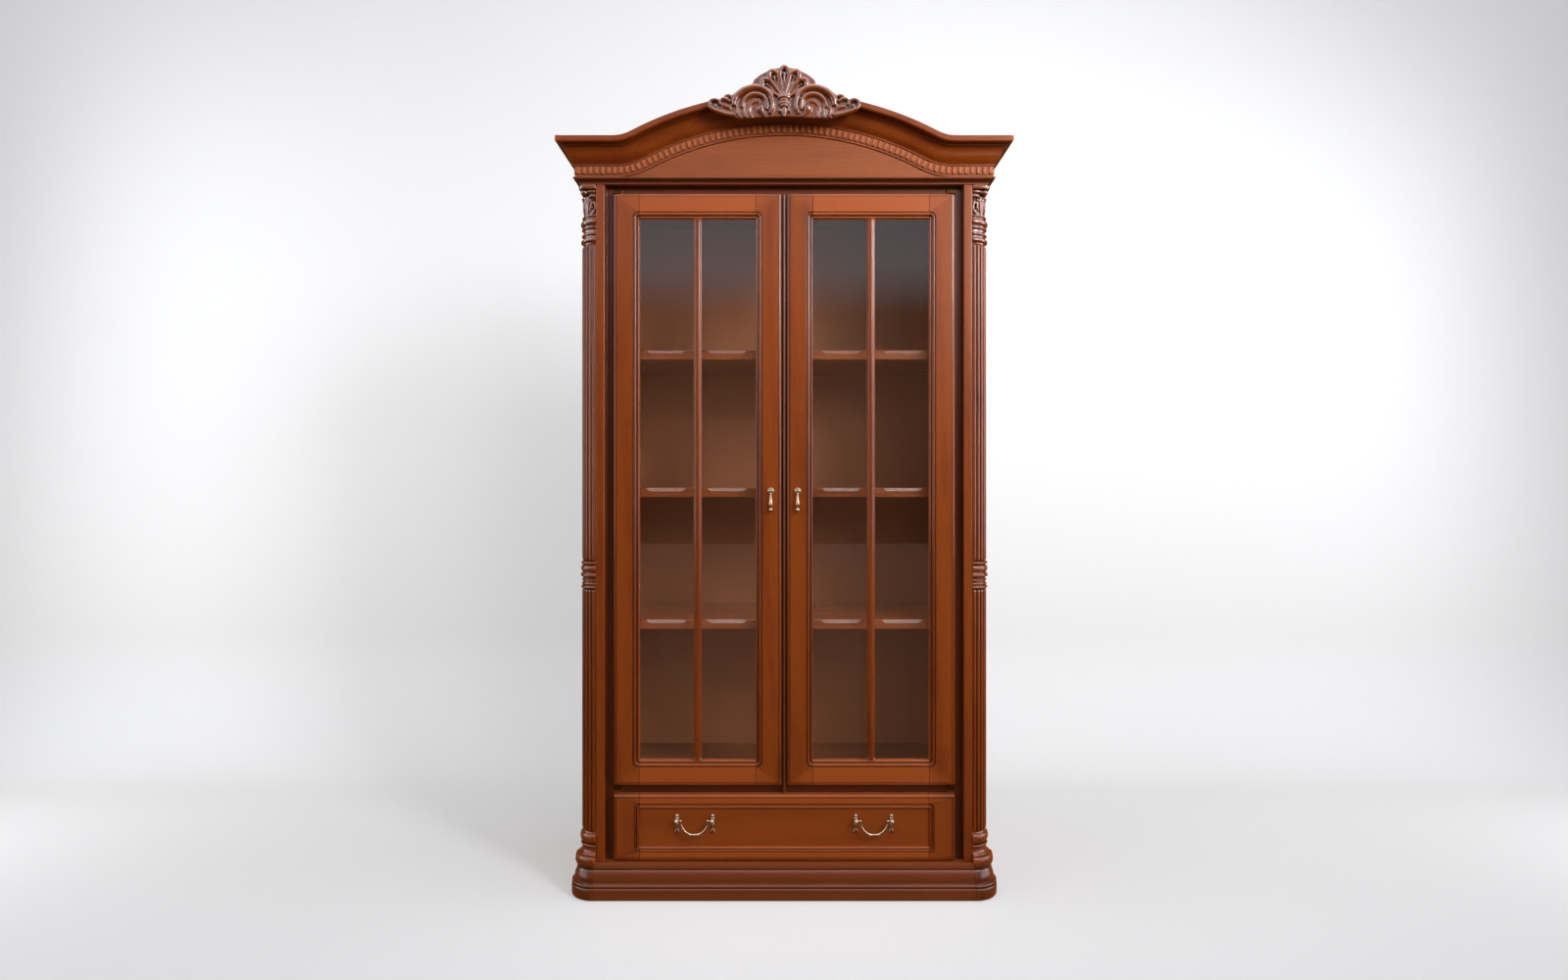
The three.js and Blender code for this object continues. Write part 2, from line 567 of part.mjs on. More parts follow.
// Flat arched panel filling the front under the dentils.
const TYMPANUM_GROOVE = 1.6;
const tympanumShape = new THREE.Shape();
const tympanumHalf = valleyX - 12;
const tympanumSteps = 40;
tympanumShape.moveTo(-tympanumHalf, FRIEZE_FOOT + GAP);
tympanumShape.lineTo(tympanumHalf, FRIEZE_FOOT + GAP);
for (let i = tympanumSteps; i >= 0; i -= 1) {
  const x = tympanumHalf * ((2 * i) / tympanumSteps - 1);
  const z = archZ(x, CORNICE_HEIGHT + TYMPANUM_GROOVE);
  if (z > FRIEZE_FOOT + GAP + 0.5) tympanumShape.lineTo(x, z);
}
add(cabinet, 'tympanum', frontShape(tympanumShape, FACE_Y - 5, FACE_Y + CORNICE_BODY), panelWood);

// ---------------------------------------------------------------- carved crest
// Scallop shell between two scrolls; drawn from the middle out in front view, then relieved.
const crestY = FASCIA_Y - CREST_PROUD;
const crestBack = FASCIA_Y + 14;
const shellFoot = ARCH_TOP - 15;
const SHELL_LOBES = [[0, 0, 17], [33, -9, 16], [62, -28, 15]];

function ellipsoid(x, y, z, rx, ry, rz, tilt = 0) {
  const form = new THREE.SphereGeometry(1, 10, 6).scale(rx, ry, rz).rotateY(tilt);
  return solid(form.translate(x, y, z));
}

const crestOutline = shapeOf([
  [-204, ARCH_TOP - 24], [-188, ARCH_TOP - 46], [-150, ARCH_TOP - 60], [0, ARCH_TOP - 66],
  [150, ARCH_TOP - 60], [188, ARCH_TOP - 46], [204, ARCH_TOP - 24], [196, ARCH_TOP - 8],
  [164, ARCH_TOP + 4], [128, ARCH_TOP - 4], [100, ARCH_TOP + 18], [82, ARCH_TOP + 26],
  [62, CREST_TOP - 34], [30, CREST_TOP - 14], [0, CREST_TOP - 8], [-30, CREST_TOP - 14],
  [-62, CREST_TOP - 34], [-82, ARCH_TOP + 26], [-100, ARCH_TOP + 18], [-128, ARCH_TOP - 4],
  [-164, ARCH_TOP + 4], [-196, ARCH_TOP - 8],
]);
let crest = frontShape(crestOutline, crestY + 8, crestBack);
for (const side of [-1, 1]) {
  for (const [across, down, lobe] of SHELL_LOBES) {
    const tipZ = CREST_TOP - lobe + down;
    const lean = Math.atan2(side * across, tipZ - shellFoot);
    const middle = (tipZ + shellFoot) / 2;
    crest = crest.add(ellipsoid(side * across, crestY + 12, tipZ, lobe, 12, lobe));
    crest = crest.add(ellipsoid((side * across) / 2, crestY + 11, middle, lobe * 0.7, 10,
      (tipZ - shellFoot) * 0.6, lean));
  }
  crest = crest.add(ellipsoid(side * 62, crestY + 13, ARCH_TOP - 26, 44, 13, 36));
  crest = crest.add(ellipsoid(side * 104, crestY + 12, ARCH_TOP - 20, 34, 11, 24, side * 0.5));
  crest = crest.add(ellipsoid(side * 180, crestY + 10, ARCH_TOP - 26, 18, 9, 17));
}
crest = crest.add(ellipsoid(0, crestY + 12, ARCH_TOP - 30, 17, 12, 24));
const corniceEnvelope = archSweep([
  [CORNICE_PROUD + GAP, -GAP], [CORNICE_PROUD + GAP, 110], [-40, 110], [-40, -GAP],
]);
add(cabinet, 'crest', crest.subtract(corniceEnvelope), cherryDark);

// ---------------------------------------------------------------- doors
// The sight moulding is worked round the glass opening in steps [grow, depth].
const SIGHT_STEPS = [[SIGHT_MOULDING, 1.8], [11, 4], [5, 6.5]];
const DOOR_EDGE = 5;
let frame = slab(DOOR_IN, DOOR_OUT, DOOR_Z, DOOR_TOP, FACE_Y, FACE_Y + FRONT_THICK, DOOR_EDGE);
for (const [grow, depth] of SIGHT_STEPS) {
  const step = rectangle(SIGHT_IN - grow, SIGHT_OUT + grow, SIGHT_Z - grow, SIGHT_TOP + grow, grow * 0.8);
  frame = frame.subtract(frontShape(step, FACE_Y - 5, FACE_Y + depth));
}
frame = frame.subtract(box(SIGHT_IN, SIGHT_OUT, FACE_Y - 1, FACE_Y + FRONT_THICK + 1, SIGHT_Z, SIGHT_TOP));
const grooveLap = GLASS_LAP + 1;
frame = frame.subtract(box(SIGHT_IN - grooveLap, SIGHT_OUT + grooveLap, FACE_Y + GLASS_DEPTH - GAP,
  FACE_Y + GLASS_DEPTH + GLASS_THICK + GAP, SIGHT_Z - grooveLap, SIGHT_TOP + grooveLap));
const pivotX = DOOR_OUT - PIVOT_INSET;
const pivotY = FACE_Y + PIVOT_INSET;
const pivotBore = PIVOT_LENGTH + 1;
for (const [from, to] of [[DOOR_Z - 1, DOOR_Z + pivotBore], [DOOR_TOP - pivotBore, DOOR_TOP + 1]]) {
  frame = frame.subtract(rodZ(PIVOT_HOLE_R, pivotX, pivotY, from, to));
}

function frameMember(x0, x1, z0, z1) {
  return frame.intersect(box(x0, x1, FACE_Y - 1, FACE_Y + FRONT_THICK + 1, z0, z1));
}
const halfGap = GAP / 2;
const doorPieces = [
  ['hinge_stile', frameMember(SIGHT_OUT + halfGap, DOOR_OUT + 1, DOOR_Z - 1, DOOR_TOP + 1), cherry],
  ['meeting_stile', frameMember(DOOR_IN - 1, SIGHT_IN - halfGap, DOOR_Z - 1, DOOR_TOP + 1), cherry],
  ['bottom_rail', frameMember(SIGHT_IN + halfGap, SIGHT_OUT - halfGap, DOOR_Z - 1, SIGHT_Z + 1), cherry],
  ['top_rail', frameMember(SIGHT_IN + halfGap, SIGHT_OUT - halfGap, SIGHT_TOP - 1, DOOR_TOP + 1), cherry],
  ['glass', box(SIGHT_IN - GLASS_LAP, SIGHT_OUT + GLASS_LAP, FACE_Y + GLASS_DEPTH,
    FACE_Y + GLASS_DEPTH + GLASS_THICK, SIGHT_Z - GLASS_LAP, SIGHT_TOP + GLASS_LAP), glass],
];

const barBack = FACE_Y + GLASS_DEPTH - GAP;
doorPieces.push(['glazing_bar', prismZ([
  [BAR_X - halfBar, barBack], [BAR_X - halfBar, FACE_Y + 5],
  [BAR_X - halfBar + 3, FACE_Y + 3], [BAR_X - 4, FACE_Y + 1.2],
  [BAR_X + 4, FACE_Y + 1.2], [BAR_X + halfBar - 3, FACE_Y + 3],
  [BAR_X + halfBar, FACE_Y + 5], [BAR_X + halfBar, barBack],
], SIGHT_Z + GAP, SIGHT_TOP - GAP), cherry]);

// Drop pull: a rosette with two ears and a pin, and a pendant that swings on the pin.
const dropY = FACE_Y - DROP_STANDOFF;
const DROP_PIN_R = 1.5;
const DROP_EYE_R = 4;
const ROSETTE_R = 9;
let rosette = turnedForward([[ROSETTE_R, 0], [ROSETTE_R, 1], [7.5, 2.4], [4, 3.2]], DROP_X,
  FACE_Y - GAP, DROP_Z);
for (const side of [-1, 1]) {
  const ear = DROP_X + side * 3.6;
  rosette = rosette.add(box(ear - 1, ear + 1, dropY - 2.4, FACE_Y - 2, DROP_Z - 2.4, DROP_Z + 2.4));
}
rosette = rosette.add(rodX(DROP_PIN_R, DROP_X - 4, DROP_X + 4, dropY, DROP_Z, 12));
doorPieces.push(['pull_rosette', rosette, pullMetal]);

const pendantProfile = [
  [3.2, -8], [2.2, -11], [3.6, -20], [5.2, -30], [5.4, -35], [3.4, -41], [2, -44], [4.4, -48],
  [5, -51.5], [4.2, -55], [1.6, -DROP_LENGTH],
];
const pendantFoot = pendantProfile.map(([r, z]) => [r, DROP_Z + z]).reverse();
let pendant = turned(pendantFoot, DROP_X, dropY, 12);
pendant = pendant.add(rodX(DROP_EYE_R, DROP_X - 2, DROP_X + 2, dropY, DROP_Z, 16));
pendant = pendant.add(box(DROP_X - 1.8, DROP_X + 1.8, dropY - 1.8, dropY + 1.8, DROP_Z - 9, DROP_Z - 2.5));
pendant = pendant.subtract(rodX(DROP_PIN_R + 0.2, DROP_X - 3, DROP_X + 3, dropY, DROP_Z, 16));
const dropPiece = ['pull_drop', pendant, pullMetal];

for (const side of [-1, 1]) {
  const name = side > 0 ? 'door_right' : 'door_left';
  const place = (body) => (side > 0 ? body : mirrored(body));
  const door = group(cabinet, side * pivotX, pivotY, DOOR_Z);
  for (const [piece, body, material] of doorPieces) add(door, `${name}_${piece}`, place(body), material);
  const drop = group(cabinet, side * DROP_X, dropY, DROP_Z);
  add(drop, `${name}_${dropPiece[0]}`, place(dropPiece[1]), dropPiece[2]);
}

// Pivot brackets on the face frame: a foot on the post, a shelf under or over the door, a pin.
function pivotBracket(edgeZ, up) {
  const clear = 0.6;
  const plate = edgeZ - up * clear;
  const level = (a, b) => [Math.min(a, b), Math.max(a, b)];
  const [p0, p1] = level(plate, plate - up * BRACKET_THICK);
  const [f0, f1] = level(plate, plate - up * BRACKET_FOOT);
  const [n0, n1] = level(plate - up, plate + up * (clear + PIVOT_LENGTH - 1));
  const x0 = pivotX - BRACKET_WIDTH / 2;
  const x1 = pivotX + BRACKET_WIDTH / 2;
  const shelf = box(x0, x1, FACE_Y + 2, FRAME_Y - GAP, p0, p1);
  const foot = box(x0, x1, FRAME_Y - GAP - BRACKET_THICK + 1, FRAME_Y - GAP, f0, f1);
  return shelf.add(foot).add(rodZ(PIVOT_R, pivotX, pivotY, n0, n1));
}
addPair('pivot_lower', pivotBracket(DOOR_Z, 1), hingeMetal);
addPair('pivot_upper', pivotBracket(DOOR_TOP, -1), hingeMetal);

// ---------------------------------------------------------------- drawer
const drawer = group(cabinet, 0, FACE_Y, DRAWER_Z);
const DRAWER_CLEAR = 4;
const DRAWER_SIDE = 12;
const boxOut = POST_IN - DRAWER_CLEAR;
const boxIn = boxOut - DRAWER_SIDE;
const boxFront = FACE_Y + FRONT_THICK + GAP;
const boxBack = PANEL_FRONT_Y - 32;
const boxFoot = BOTTOM_BOARD_TOP + 0.8;
const boxTop = DRAWER_TOP - 26;
const panelX = DOOR_OUT - PANEL_SIDE;

let drawerFront = slab(-DOOR_OUT, DOOR_OUT, DRAWER_Z, DRAWER_TOP, FACE_Y, FACE_Y + FRONT_THICK,
  DOOR_EDGE);
for (const [grow, depth] of [[14, 1.6], [7, 3.4], [0, PANEL_DEPTH]]) {
  const step = rectangle(-panelX - grow, panelX + grow, DRAWER_Z + PANEL_MARGIN - grow,
    DRAWER_TOP - PANEL_MARGIN + grow, 2 + grow * 0.7);
  drawerFront = drawerFront.subtract(frontShape(step, FACE_Y - 5, FACE_Y + depth));
}
add(drawer, 'drawer_front', drawerFront, cherry);
add(drawer, 'drawer_side_right', box(boxIn, boxOut, boxFront, boxBack, boxFoot, boxTop), drawerWood);
add(drawer, 'drawer_side_left', box(-boxOut, -boxIn, boxFront, boxBack, boxFoot, boxTop), drawerWood);
add(drawer, 'drawer_back', box(-boxIn + GAP, boxIn - GAP, boxBack - DRAWER_SIDE, boxBack,
  boxFoot, boxTop), drawerWood);
add(drawer, 'drawer_bottom', box(-boxIn + GAP, boxIn - GAP, boxFront, boxBack - DRAWER_SIDE - GAP,
  boxFoot + 6, boxFoot + 12), drawerWood);

// Bail pulls: each post has a leaf-shaped backplate, a stem, a knuckle and a finial.
const fieldY = FACE_Y + PANEL_DEPTH - GAP;
const pullY = FACE_Y - PULL_STANDOFF;
const stand = fieldY - pullY;

function pullPost(x, inward) {
  const leaf = shapeOf([[0, 12], [6, 5], [5, -4], [7, -12], [4, -24], [0, -38], [-4, -24], [-7, -12],
    [-5, -4], [-6, 5]].map(([u, v]) => [x + u, PULL_HEIGHT + v]));
  let post = frontShape(leaf, fieldY - 2.5, fieldY);
  const r = PULL_KNUCKLE_R;
  post = post.add(turnedForward([
    [5.5, 1], [4.5, 4], [3.6, 6], [3.8, stand - r + 1], [r - 1.2, stand - 4], [r, stand],
    [r - 1.2, stand + 4], [3, stand + r - 0.5], [3.6, stand + r + 2], [1.4, stand + r + 5],
  ], x, fieldY, PULL_HEIGHT));
  const mouth = x + inward * (r + 1);
  const seat = x + inward * 2;
  return post.subtract(rodX(BAIL_HOLE_R, Math.min(seat, mouth), Math.max(seat, mouth), pullY, PULL_HEIGHT));
}

function bail(x) {
  const shoulderR = BAIL_ROD_R + 0.4;
  const shoulder = PULL_SPACING / 2 - PULL_KNUCKLE_R - 1 - shoulderR;
  const path = new THREE.CatmullRomCurve3([
    [-shoulder, 0], [-shoulder - 0.5, -8], [-shoulder + 0.5, -19], [-shoulder + 6, -31],
    [-shoulder + 18, -BAIL_DROP], [0, -BAIL_DROP - 1], [shoulder - 18, -BAIL_DROP], [shoulder - 6, -31],
    [shoulder - 0.5, -19], [shoulder + 0.5, -8], [shoulder, 0],
  ].map(([u, v]) => new THREE.Vector3(x + u, pullY, PULL_HEIGHT + v)));
  const round = new THREE.Shape();
  round.absarc(0, 0, BAIL_ROD_R, 0, 2 * Math.PI, false);
  let rod = solid(new THREE.ExtrudeGeometry(round, { steps: 20, extrudePath: path, curveSegments: 4 }));
  for (const side of [-1, 1]) {
    const root = x + side * shoulder;
    const tip = x + side * (PULL_SPACING / 2 - 2.6);
    rod = rod.add(rodX(BAIL_PIN_R, Math.min(tip, root), Math.max(tip, root), pullY, PULL_HEIGHT, 12));
    rod = rod.add(solid(new THREE.SphereGeometry(shoulderR, 10, 8).translate(root, pullY, PULL_HEIGHT)));
  }
  return rod;
}

for (const side of [-1, 1]) {
  const name = side > 0 ? 'pull_right' : 'pull_left';
  const middle = side * PULL_CENTRES;
  add(drawer, `${name}_post_a`, pullPost(middle - PULL_SPACING / 2, 1), pullMetal);
  add(drawer, `${name}_post_b`, pullPost(middle + PULL_SPACING / 2, -1), pullMetal);
  add(group(cabinet, middle, pullY, PULL_HEIGHT), `${name}_bail`, bail(middle), pullMetal);
}

export default cabinet;
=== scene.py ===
"""China cabinet with two glazed doors, a drawer, reeded corner columns and an arched, carved cornice.

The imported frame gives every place; the pieces modelled here give the looks. Lengths in the
modelling functions are millimetres in the frame's own axes: X to the right, Y to the back, Z up.
"""

import math

import bmesh
import bpy
from bpy.props import FloatProperty, FloatVectorProperty, IntProperty, PointerProperty
from mathutils import Matrix, Vector


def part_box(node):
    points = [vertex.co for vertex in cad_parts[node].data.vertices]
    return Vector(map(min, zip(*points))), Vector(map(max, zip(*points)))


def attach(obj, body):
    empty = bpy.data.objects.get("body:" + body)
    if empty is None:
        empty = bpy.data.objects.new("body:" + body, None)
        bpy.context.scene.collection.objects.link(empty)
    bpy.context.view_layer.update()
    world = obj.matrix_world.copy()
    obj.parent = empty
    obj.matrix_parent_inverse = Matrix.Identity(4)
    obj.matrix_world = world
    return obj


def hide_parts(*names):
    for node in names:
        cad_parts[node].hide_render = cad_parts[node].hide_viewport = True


bl_info = {
    "name": "China Cabinet",
    "version": (1, 0, 0),
    "blender": (4, 5, 0),
    "location": "3D View > Sidebar > Cabinet",
    "description": "Models the looks of a two-door china cabinet round its packed frame",
    "category": "Object",
}

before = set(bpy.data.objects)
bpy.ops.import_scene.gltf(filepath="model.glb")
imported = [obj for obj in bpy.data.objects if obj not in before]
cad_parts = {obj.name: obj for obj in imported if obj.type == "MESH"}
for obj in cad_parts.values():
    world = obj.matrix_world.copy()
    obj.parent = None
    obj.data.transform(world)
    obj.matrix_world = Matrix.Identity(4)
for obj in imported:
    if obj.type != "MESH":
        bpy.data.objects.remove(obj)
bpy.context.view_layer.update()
MM = 0.001
SIDES = ("right", "left")
DOOR_MEMBERS = ("hinge_stile", "meeting_stile", "bottom_rail", "top_rail")


# ---------------------------------------------------------------- measures of the frame
def low(node):
    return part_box(node)[0] / MM


def high(node):
    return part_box(node)[1] / MM


GAP = 0.3  # clearance between fixed pieces
FACE_Y = low("door_right_hinge_stile").y
BACK_Y = high("back_panel").y
FRAME_Y = low("lower_rail").y
FASCIA_Y = low("cornice_front").y
CREST_Y = low("crest").y

COLUMN_X = low("capital_right").x
COLUMN_Y = high("capital_right").y
COLUMN_R = COLUMN_Y - FACE_Y
CASE_HALF = COLUMN_X + COLUMN_R
CORNICE_HALF = high("cornice_return_right").x

PLINTH_TOP = high("plinth_front").z
PLINTH_Y = low("plinth_front").y
PLINTH_HALF = high("plinth_corner_right").x
CASE_Z = low("column_right").z
BAND_RISE = 734.7  # from the foot of the column to its turned band
CAPITAL_Z = low("capital_right").z
POST_TOP = low("top_board").z
FRIEZE_FOOT = high("top_board").z
FRIEZE_OUT = 8  # proud of the case
FRIEZE_HEAD, FRIEZE_END = 65.7, 94 - GAP  # below the cornice's top line
DENTIL_LINE = 77.5
CORNICE_BODY = 22  # thickness behind the case's face
CORNICE_TOP = high("cornice_return_right").z
ARCH_TOP = high("cornice_front").z

DOOR_IN = low("door_right_meeting_stile").x
DOOR_OUT = high("door_right_hinge_stile").x
DOOR_Z = low("door_right_hinge_stile").z
DOOR_TOP = high("door_right_hinge_stile").z
DOOR_BACK_Y = high("door_right_hinge_stile").y
JOINT = 0.15  # half the joint line between the members of a frame
SIGHT_IN = high("door_right_meeting_stile").x + JOINT
SIGHT_OUT = low("door_right_hinge_stile").x - JOINT
SIGHT_Z = low("door_right_glazing_bar").z - GAP
SIGHT_TOP = high("door_right_glazing_bar").z + GAP
BAR_X = (SIGHT_IN + SIGHT_OUT) / 2
BAR_HALF = 10.5

DRAWER_OUT = high("drawer_front").x
DRAWER_Z = low("drawer_front").z
DRAWER_TOP = high("drawer_front").z
PANEL_SINK = 5.7  # of the drawer's panel behind the face of its frame

# The cornice's top line: level shoulders, a valley curve and the arch.
SHOULDER = 178
VALLEY_R = 100
ARCH_SPAN = CORNICE_HALF - SHOULDER
ARCH_RISE = ARCH_TOP - CORNICE_TOP
ARCH_R = (ARCH_SPAN**2 + ARCH_RISE**2) / (2 * ARCH_RISE)
ARCH_Z = ARCH_TOP - ARCH_R
VALLEY_Z = CORNICE_TOP + VALLEY_R
VALLEY_X = math.sqrt((ARCH_R + VALLEY_R) ** 2 - (VALLEY_Z - ARCH_Z) ** 2)
MEET_SHARE = ARCH_R / (ARCH_R + VALLEY_R)


def linear(code):
    """An sRGB hex colour as linear red, green and blue."""
    parts = [int(code[i : i + 2], 16) / 255 for i in (1, 3, 5)]
    return [c / 12.92 if c <= 0.04045 else ((c + 0.055) / 1.055) ** 2.4 for c in parts]


# ---------------------------------------------------------------- sizes and colours
def length(name, description, millimetres):
    return FloatProperty(
        name=name, description=description, default=millimetres * MM, min=0, unit="LENGTH"
    )


def colour(name, description, code):
    return FloatVectorProperty(
        name=name, description=description, default=linear(code), size=3, min=0, max=1, subtype="COLOR"
    )


class CabinetSizes(bpy.types.PropertyGroup):
    """Sizes that the frame leaves open."""

    reeds: IntProperty(
        name="Reeds", description="Reeds round each quarter column", default=6, min=2, max=9
    )
    reed_depth: length("Reed depth", "Groove between two reeds", 5)
    edge: length("Eased edge", "Rounding on the arrises of plain boards", 1.2)
    door_edge: length("Door edge", "Rounding on the outer edge of doors and drawer front", 7.5)
    sight_moulding: length("Sight moulding", "Width of the moulding round the glass", 18)
    chamfer: length("Shelf chamfer", "Stopped chamfer on the shelves' front edge", 9)
    dentil_pitch: length("Dentil pitch", "From one dentil to the next", 16.3)
    dentil_width: length("Dentil width", "Width of one dentil", 8)
    carving: length("Carving grain", "Finest detail kept in the carved pieces", 1.3)


class CabinetColours(bpy.types.PropertyGroup):
    """Colours of the finishes."""

    cherry_light: colour("Cherry, light grain", "Early wood under the stain", "#964504")
    cherry_dark: colour("Cherry, dark grain", "Late wood under the stain", "#662203")
    # the glaze colour also serves as painted shade in the recesses of every wood
    glaze_and_shade: colour("Umber glaze", "Glaze left in the recesses", "#1c0903")
    # the arch panel's rosier, paler tone is a painted sheen
    panel_light: colour("Arch panel, light grain", "Rosier veneer of the arched panel", "#9e5327")
    panel_dark: colour("Arch panel, dark grain", "Rosier veneer of the arched panel", "#84401d")
    inside_light: colour("Inside, light grain", "Back and floor veneer", "#7a4526")
    inside_dark: colour("Inside, dark grain", "Back and floor veneer", "#57301b")
    beech_light: colour("Beech, light grain", "Drawer box", "#c99c66")
    beech_dark: colour("Beech, dark grain", "Drawer box", "#a9783f")
    nickel: colour("Antique nickel", "Pulls where they are rubbed", "#a3917c")
    tarnish: colour("Tarnish", "Pulls in their recesses", "#2a2018")
    brass: colour("Brass", "Door pivots", "#46361f")
    wall: colour("Wall", "Studio wall and floor", "#eef1f3")


# ---------------------------------------------------------------- modelling
def select_only(*pieces):
    bpy.ops.object.select_all(action="DESELECT")
    for piece in pieces:
        piece.select_set(True)
    bpy.context.view_layer.objects.active = pieces[-1]


def edit(piece):
    select_only(piece)
    bpy.ops.object.mode_set(mode="EDIT")
    bpy.ops.mesh.select_all(action="SELECT")


def close_up(threshold=1e-6):
    """Merges what meets, turns the faces outwards and leaves edit mode."""
    bpy.ops.mesh.select_all(action="SELECT")
    bpy.ops.mesh.remove_doubles(threshold=threshold)
    bpy.ops.mesh.normals_make_consistent(inside=False)
    bpy.ops.object.mode_set(mode="OBJECT")


def outline(name, points, filled=True):
    """A circle with one corner for each point, its corners pulled onto the points."""
    bpy.ops.object.select_all(action="DESELECT")
    bpy.ops.mesh.primitive_circle_add(
        vertices=len(points), fill_type="NGON" if filled else "NOTHING"
    )
    piece = bpy.context.object
    piece.name = piece.data.name = name
    for corner, point in zip(piece.data.vertices, points):
        corner.co = Vector(point) * MM
    return piece


def drawn(name, sections, ring=False):
    """Extrudes the first section onto each next one. A ring closes on its first section."""
    piece = outline(name, sections[0], filled=not ring)
    edit(piece)
    mesh = bmesh.from_edit_mesh(piece.data)
    order = mesh.verts.layers.int.new("order")
    for i, corner in enumerate(mesh.verts):
        corner[order] = i
    for section in sections[1:] + (sections[:1] if ring else []):
        bpy.ops.mesh.extrude_region_move()
        mesh = bmesh.from_edit_mesh(piece.data)
        order = mesh.verts.layers.int["order"]
        for corner in mesh.verts:
            if corner.select:
                corner.co = Vector(section[corner[order]]) * MM
        bmesh.update_edit_mesh(piece.data)
    close_up()
    piece.data.attributes.remove(piece.data.attributes["order"])
    return piece


def open_chain(name, points):
    """Points joined up but for the last edge, left in edit mode with all of them selected."""
    piece = outline(name, points, filled=False)
    edit(piece)
    mesh = bmesh.from_edit_mesh(piece.data)
    mesh.verts.ensure_lookup_table()
    closing = mesh.edges.get((mesh.verts[0], mesh.verts[-1]))
    bpy.ops.mesh.select_all(action="DESELECT")
    bpy.ops.mesh.select_mode(type="EDGE")
    closing.select_set(True)
    bmesh.update_edit_mesh(piece.data)
    bpy.ops.mesh.delete(type="EDGE")
    bpy.ops.mesh.select_mode(type="VERT")
    bpy.ops.mesh.select_all(action="SELECT")
    return piece


def spun(name, points, centre, axis, steps=24):
    """A turned piece: an open chain of points, spun right round an axis."""
    piece = open_chain(name, points)
    bpy.ops.mesh.spin(steps=steps, angle=math.tau, center=Vector(centre) * MM, axis=axis)
    close_up(threshold=1e-5)
    return piece


def cut(piece, point, direction):
    """Cuts a piece square to direction at point, keeps the near part and closes it."""
    edit(piece)
    bpy.ops.mesh.bisect(
        plane_co=Vector(point) * MM, plane_no=direction, use_fill=True, clear_outer=True
    )
    close_up()


def modified(piece, kind, **settings):
    select_only(piece)
    bpy.ops.object.modifier_add(type=kind)
    modifier = piece.modifiers[-1]
    for key, value in settings.items():
        setattr(modifier, key, value)
    bpy.ops.object.modifier_apply(modifier=modifier.name)


def rounded(piece, width, segments=3, angle=35):
    modified(
        piece, "BEVEL", width=width * MM, segments=segments, limit_method="ANGLE",
        angle_limit=math.radians(angle), use_clamp_overlap=True,
    )


def joined(name, pieces):
    select_only(*pieces)
    bpy.ops.object.join()
    piece = bpy.context.object
    piece.name = piece.data.name = name
    return piece


def copied(piece, name):
    select_only(piece)
    bpy.ops.object.duplicate(linked=False)
    copy = bpy.context.object
    copy.name = copy.data.name = name
    return copy


def mirrored(piece, name):
    """A mirror image across the middle of the cabinet."""
    copy = copied(piece, name)
    bpy.ops.mesh.customdata_custom_splitnormals_clear()
    copy.data.transform(Matrix.Diagonal((-1, 1, 1, 1)))
    edit(copy)
    close_up()
    return copy


def merged_copy(node, name):
    """A frame node's mesh as a new piece, its loose triangles merged into whole faces."""
    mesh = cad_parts[node].data.copy()
    mesh.materials.clear()
    piece = bpy.data.objects.new(name, mesh)
    mesh.name = name
    bpy.context.scene.collection.objects.link(piece)
    select_only(piece)
    bpy.ops.mesh.customdata_custom_splitnormals_clear()
    edit(piece)
    bpy.ops.mesh.remove_doubles(threshold=1e-5)
    bpy.ops.mesh.dissolve_limited(angle_limit=math.radians(0.5))
    bpy.ops.object.mode_set(mode="OBJECT")
    return piece


def finished(piece, body, material, replaced, angle=35):
    """Shades a piece, gives it its finish and body, and hides the node of the frame that it stands for.
    """
    most_faces_of_joinery = 5000
    select_only(piece)
    bpy.ops.object.shade_smooth_by_angle(angle=math.radians(angle))
    if len(piece.data.polygons) < most_faces_of_joinery:  # flat faces stay flat beside rounded edges
        modified(piece, "WEIGHTED_NORMAL", keep_sharp=True)
    piece.data.materials.clear()
    piece.data.materials.append(material)
    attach(piece, body)
    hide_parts(replaced)


def left_hand(name):
    return name.replace("right", "left")


def finished_pair(right, body, material, replaced, angle=35):
    """Finishes a right-hand piece, then its mirror image for the left."""
    finished(right, body, material, replaced, angle)
    left = mirrored(right, left_hand(right.name))
    finished(left, left_hand(body), material, left_hand(replaced), angle)


def half_round(start, end, bulge, cuts=8):
    """Points of a bead from start to end. It swells by bulge to the right of that way."""
    (u0, v0), (u1, v1) = start, end
    half_u, half_v = (u1 - u0) / 2, (v1 - v0) / 2
    size = math.hypot(half_u, half_v)
    points = []
    for i in range(cuts + 1):
        turn = math.pi * i / cuts
        along, out = -math.cos(turn), math.sin(turn) * bulge / size
        points.append(((u0 + u1) / 2 + half_u * along + half_v * out,
                       (v0 + v1) / 2 + half_v * along - half_u * out))
    return points


def quarter_round(start, end, first, cuts=6):
    """Points of a quarter ellipse from start to end, which leaves along u or along v."""
    (u0, v0), (u1, v1) = start, end
    points = []
    for i in range(cuts + 1):
        turn = math.pi / 2 * i / cuts
        quick, slow = math.sin(turn), 1 - math.cos(turn)
        a, b = (quick, slow) if first == "u" else (slow, quick)
        points.append((u0 + (u1 - u0) * a, v0 + (v1 - v0) * b))
    return points


def arch_point(x, below):
    """From x on the cornice's top line, the point a distance below it, square to it."""
    side, across = math.copysign(1, x), abs(x)
    if across >= VALLEY_X:
        return x, CORNICE_TOP - below
    if across <= VALLEY_X * MEET_SHARE:
        share = 1 - below / ARCH_R
        return x * share, ARCH_Z + math.sqrt(ARCH_R**2 - x**2) * share
    grow = 1 + below / VALLEY_R
    drop = math.sqrt(VALLEY_R**2 - (VALLEY_X - across) ** 2)
    return side * (VALLEY_X - (VALLEY_X - across) * grow), VALLEY_Z - drop * grow


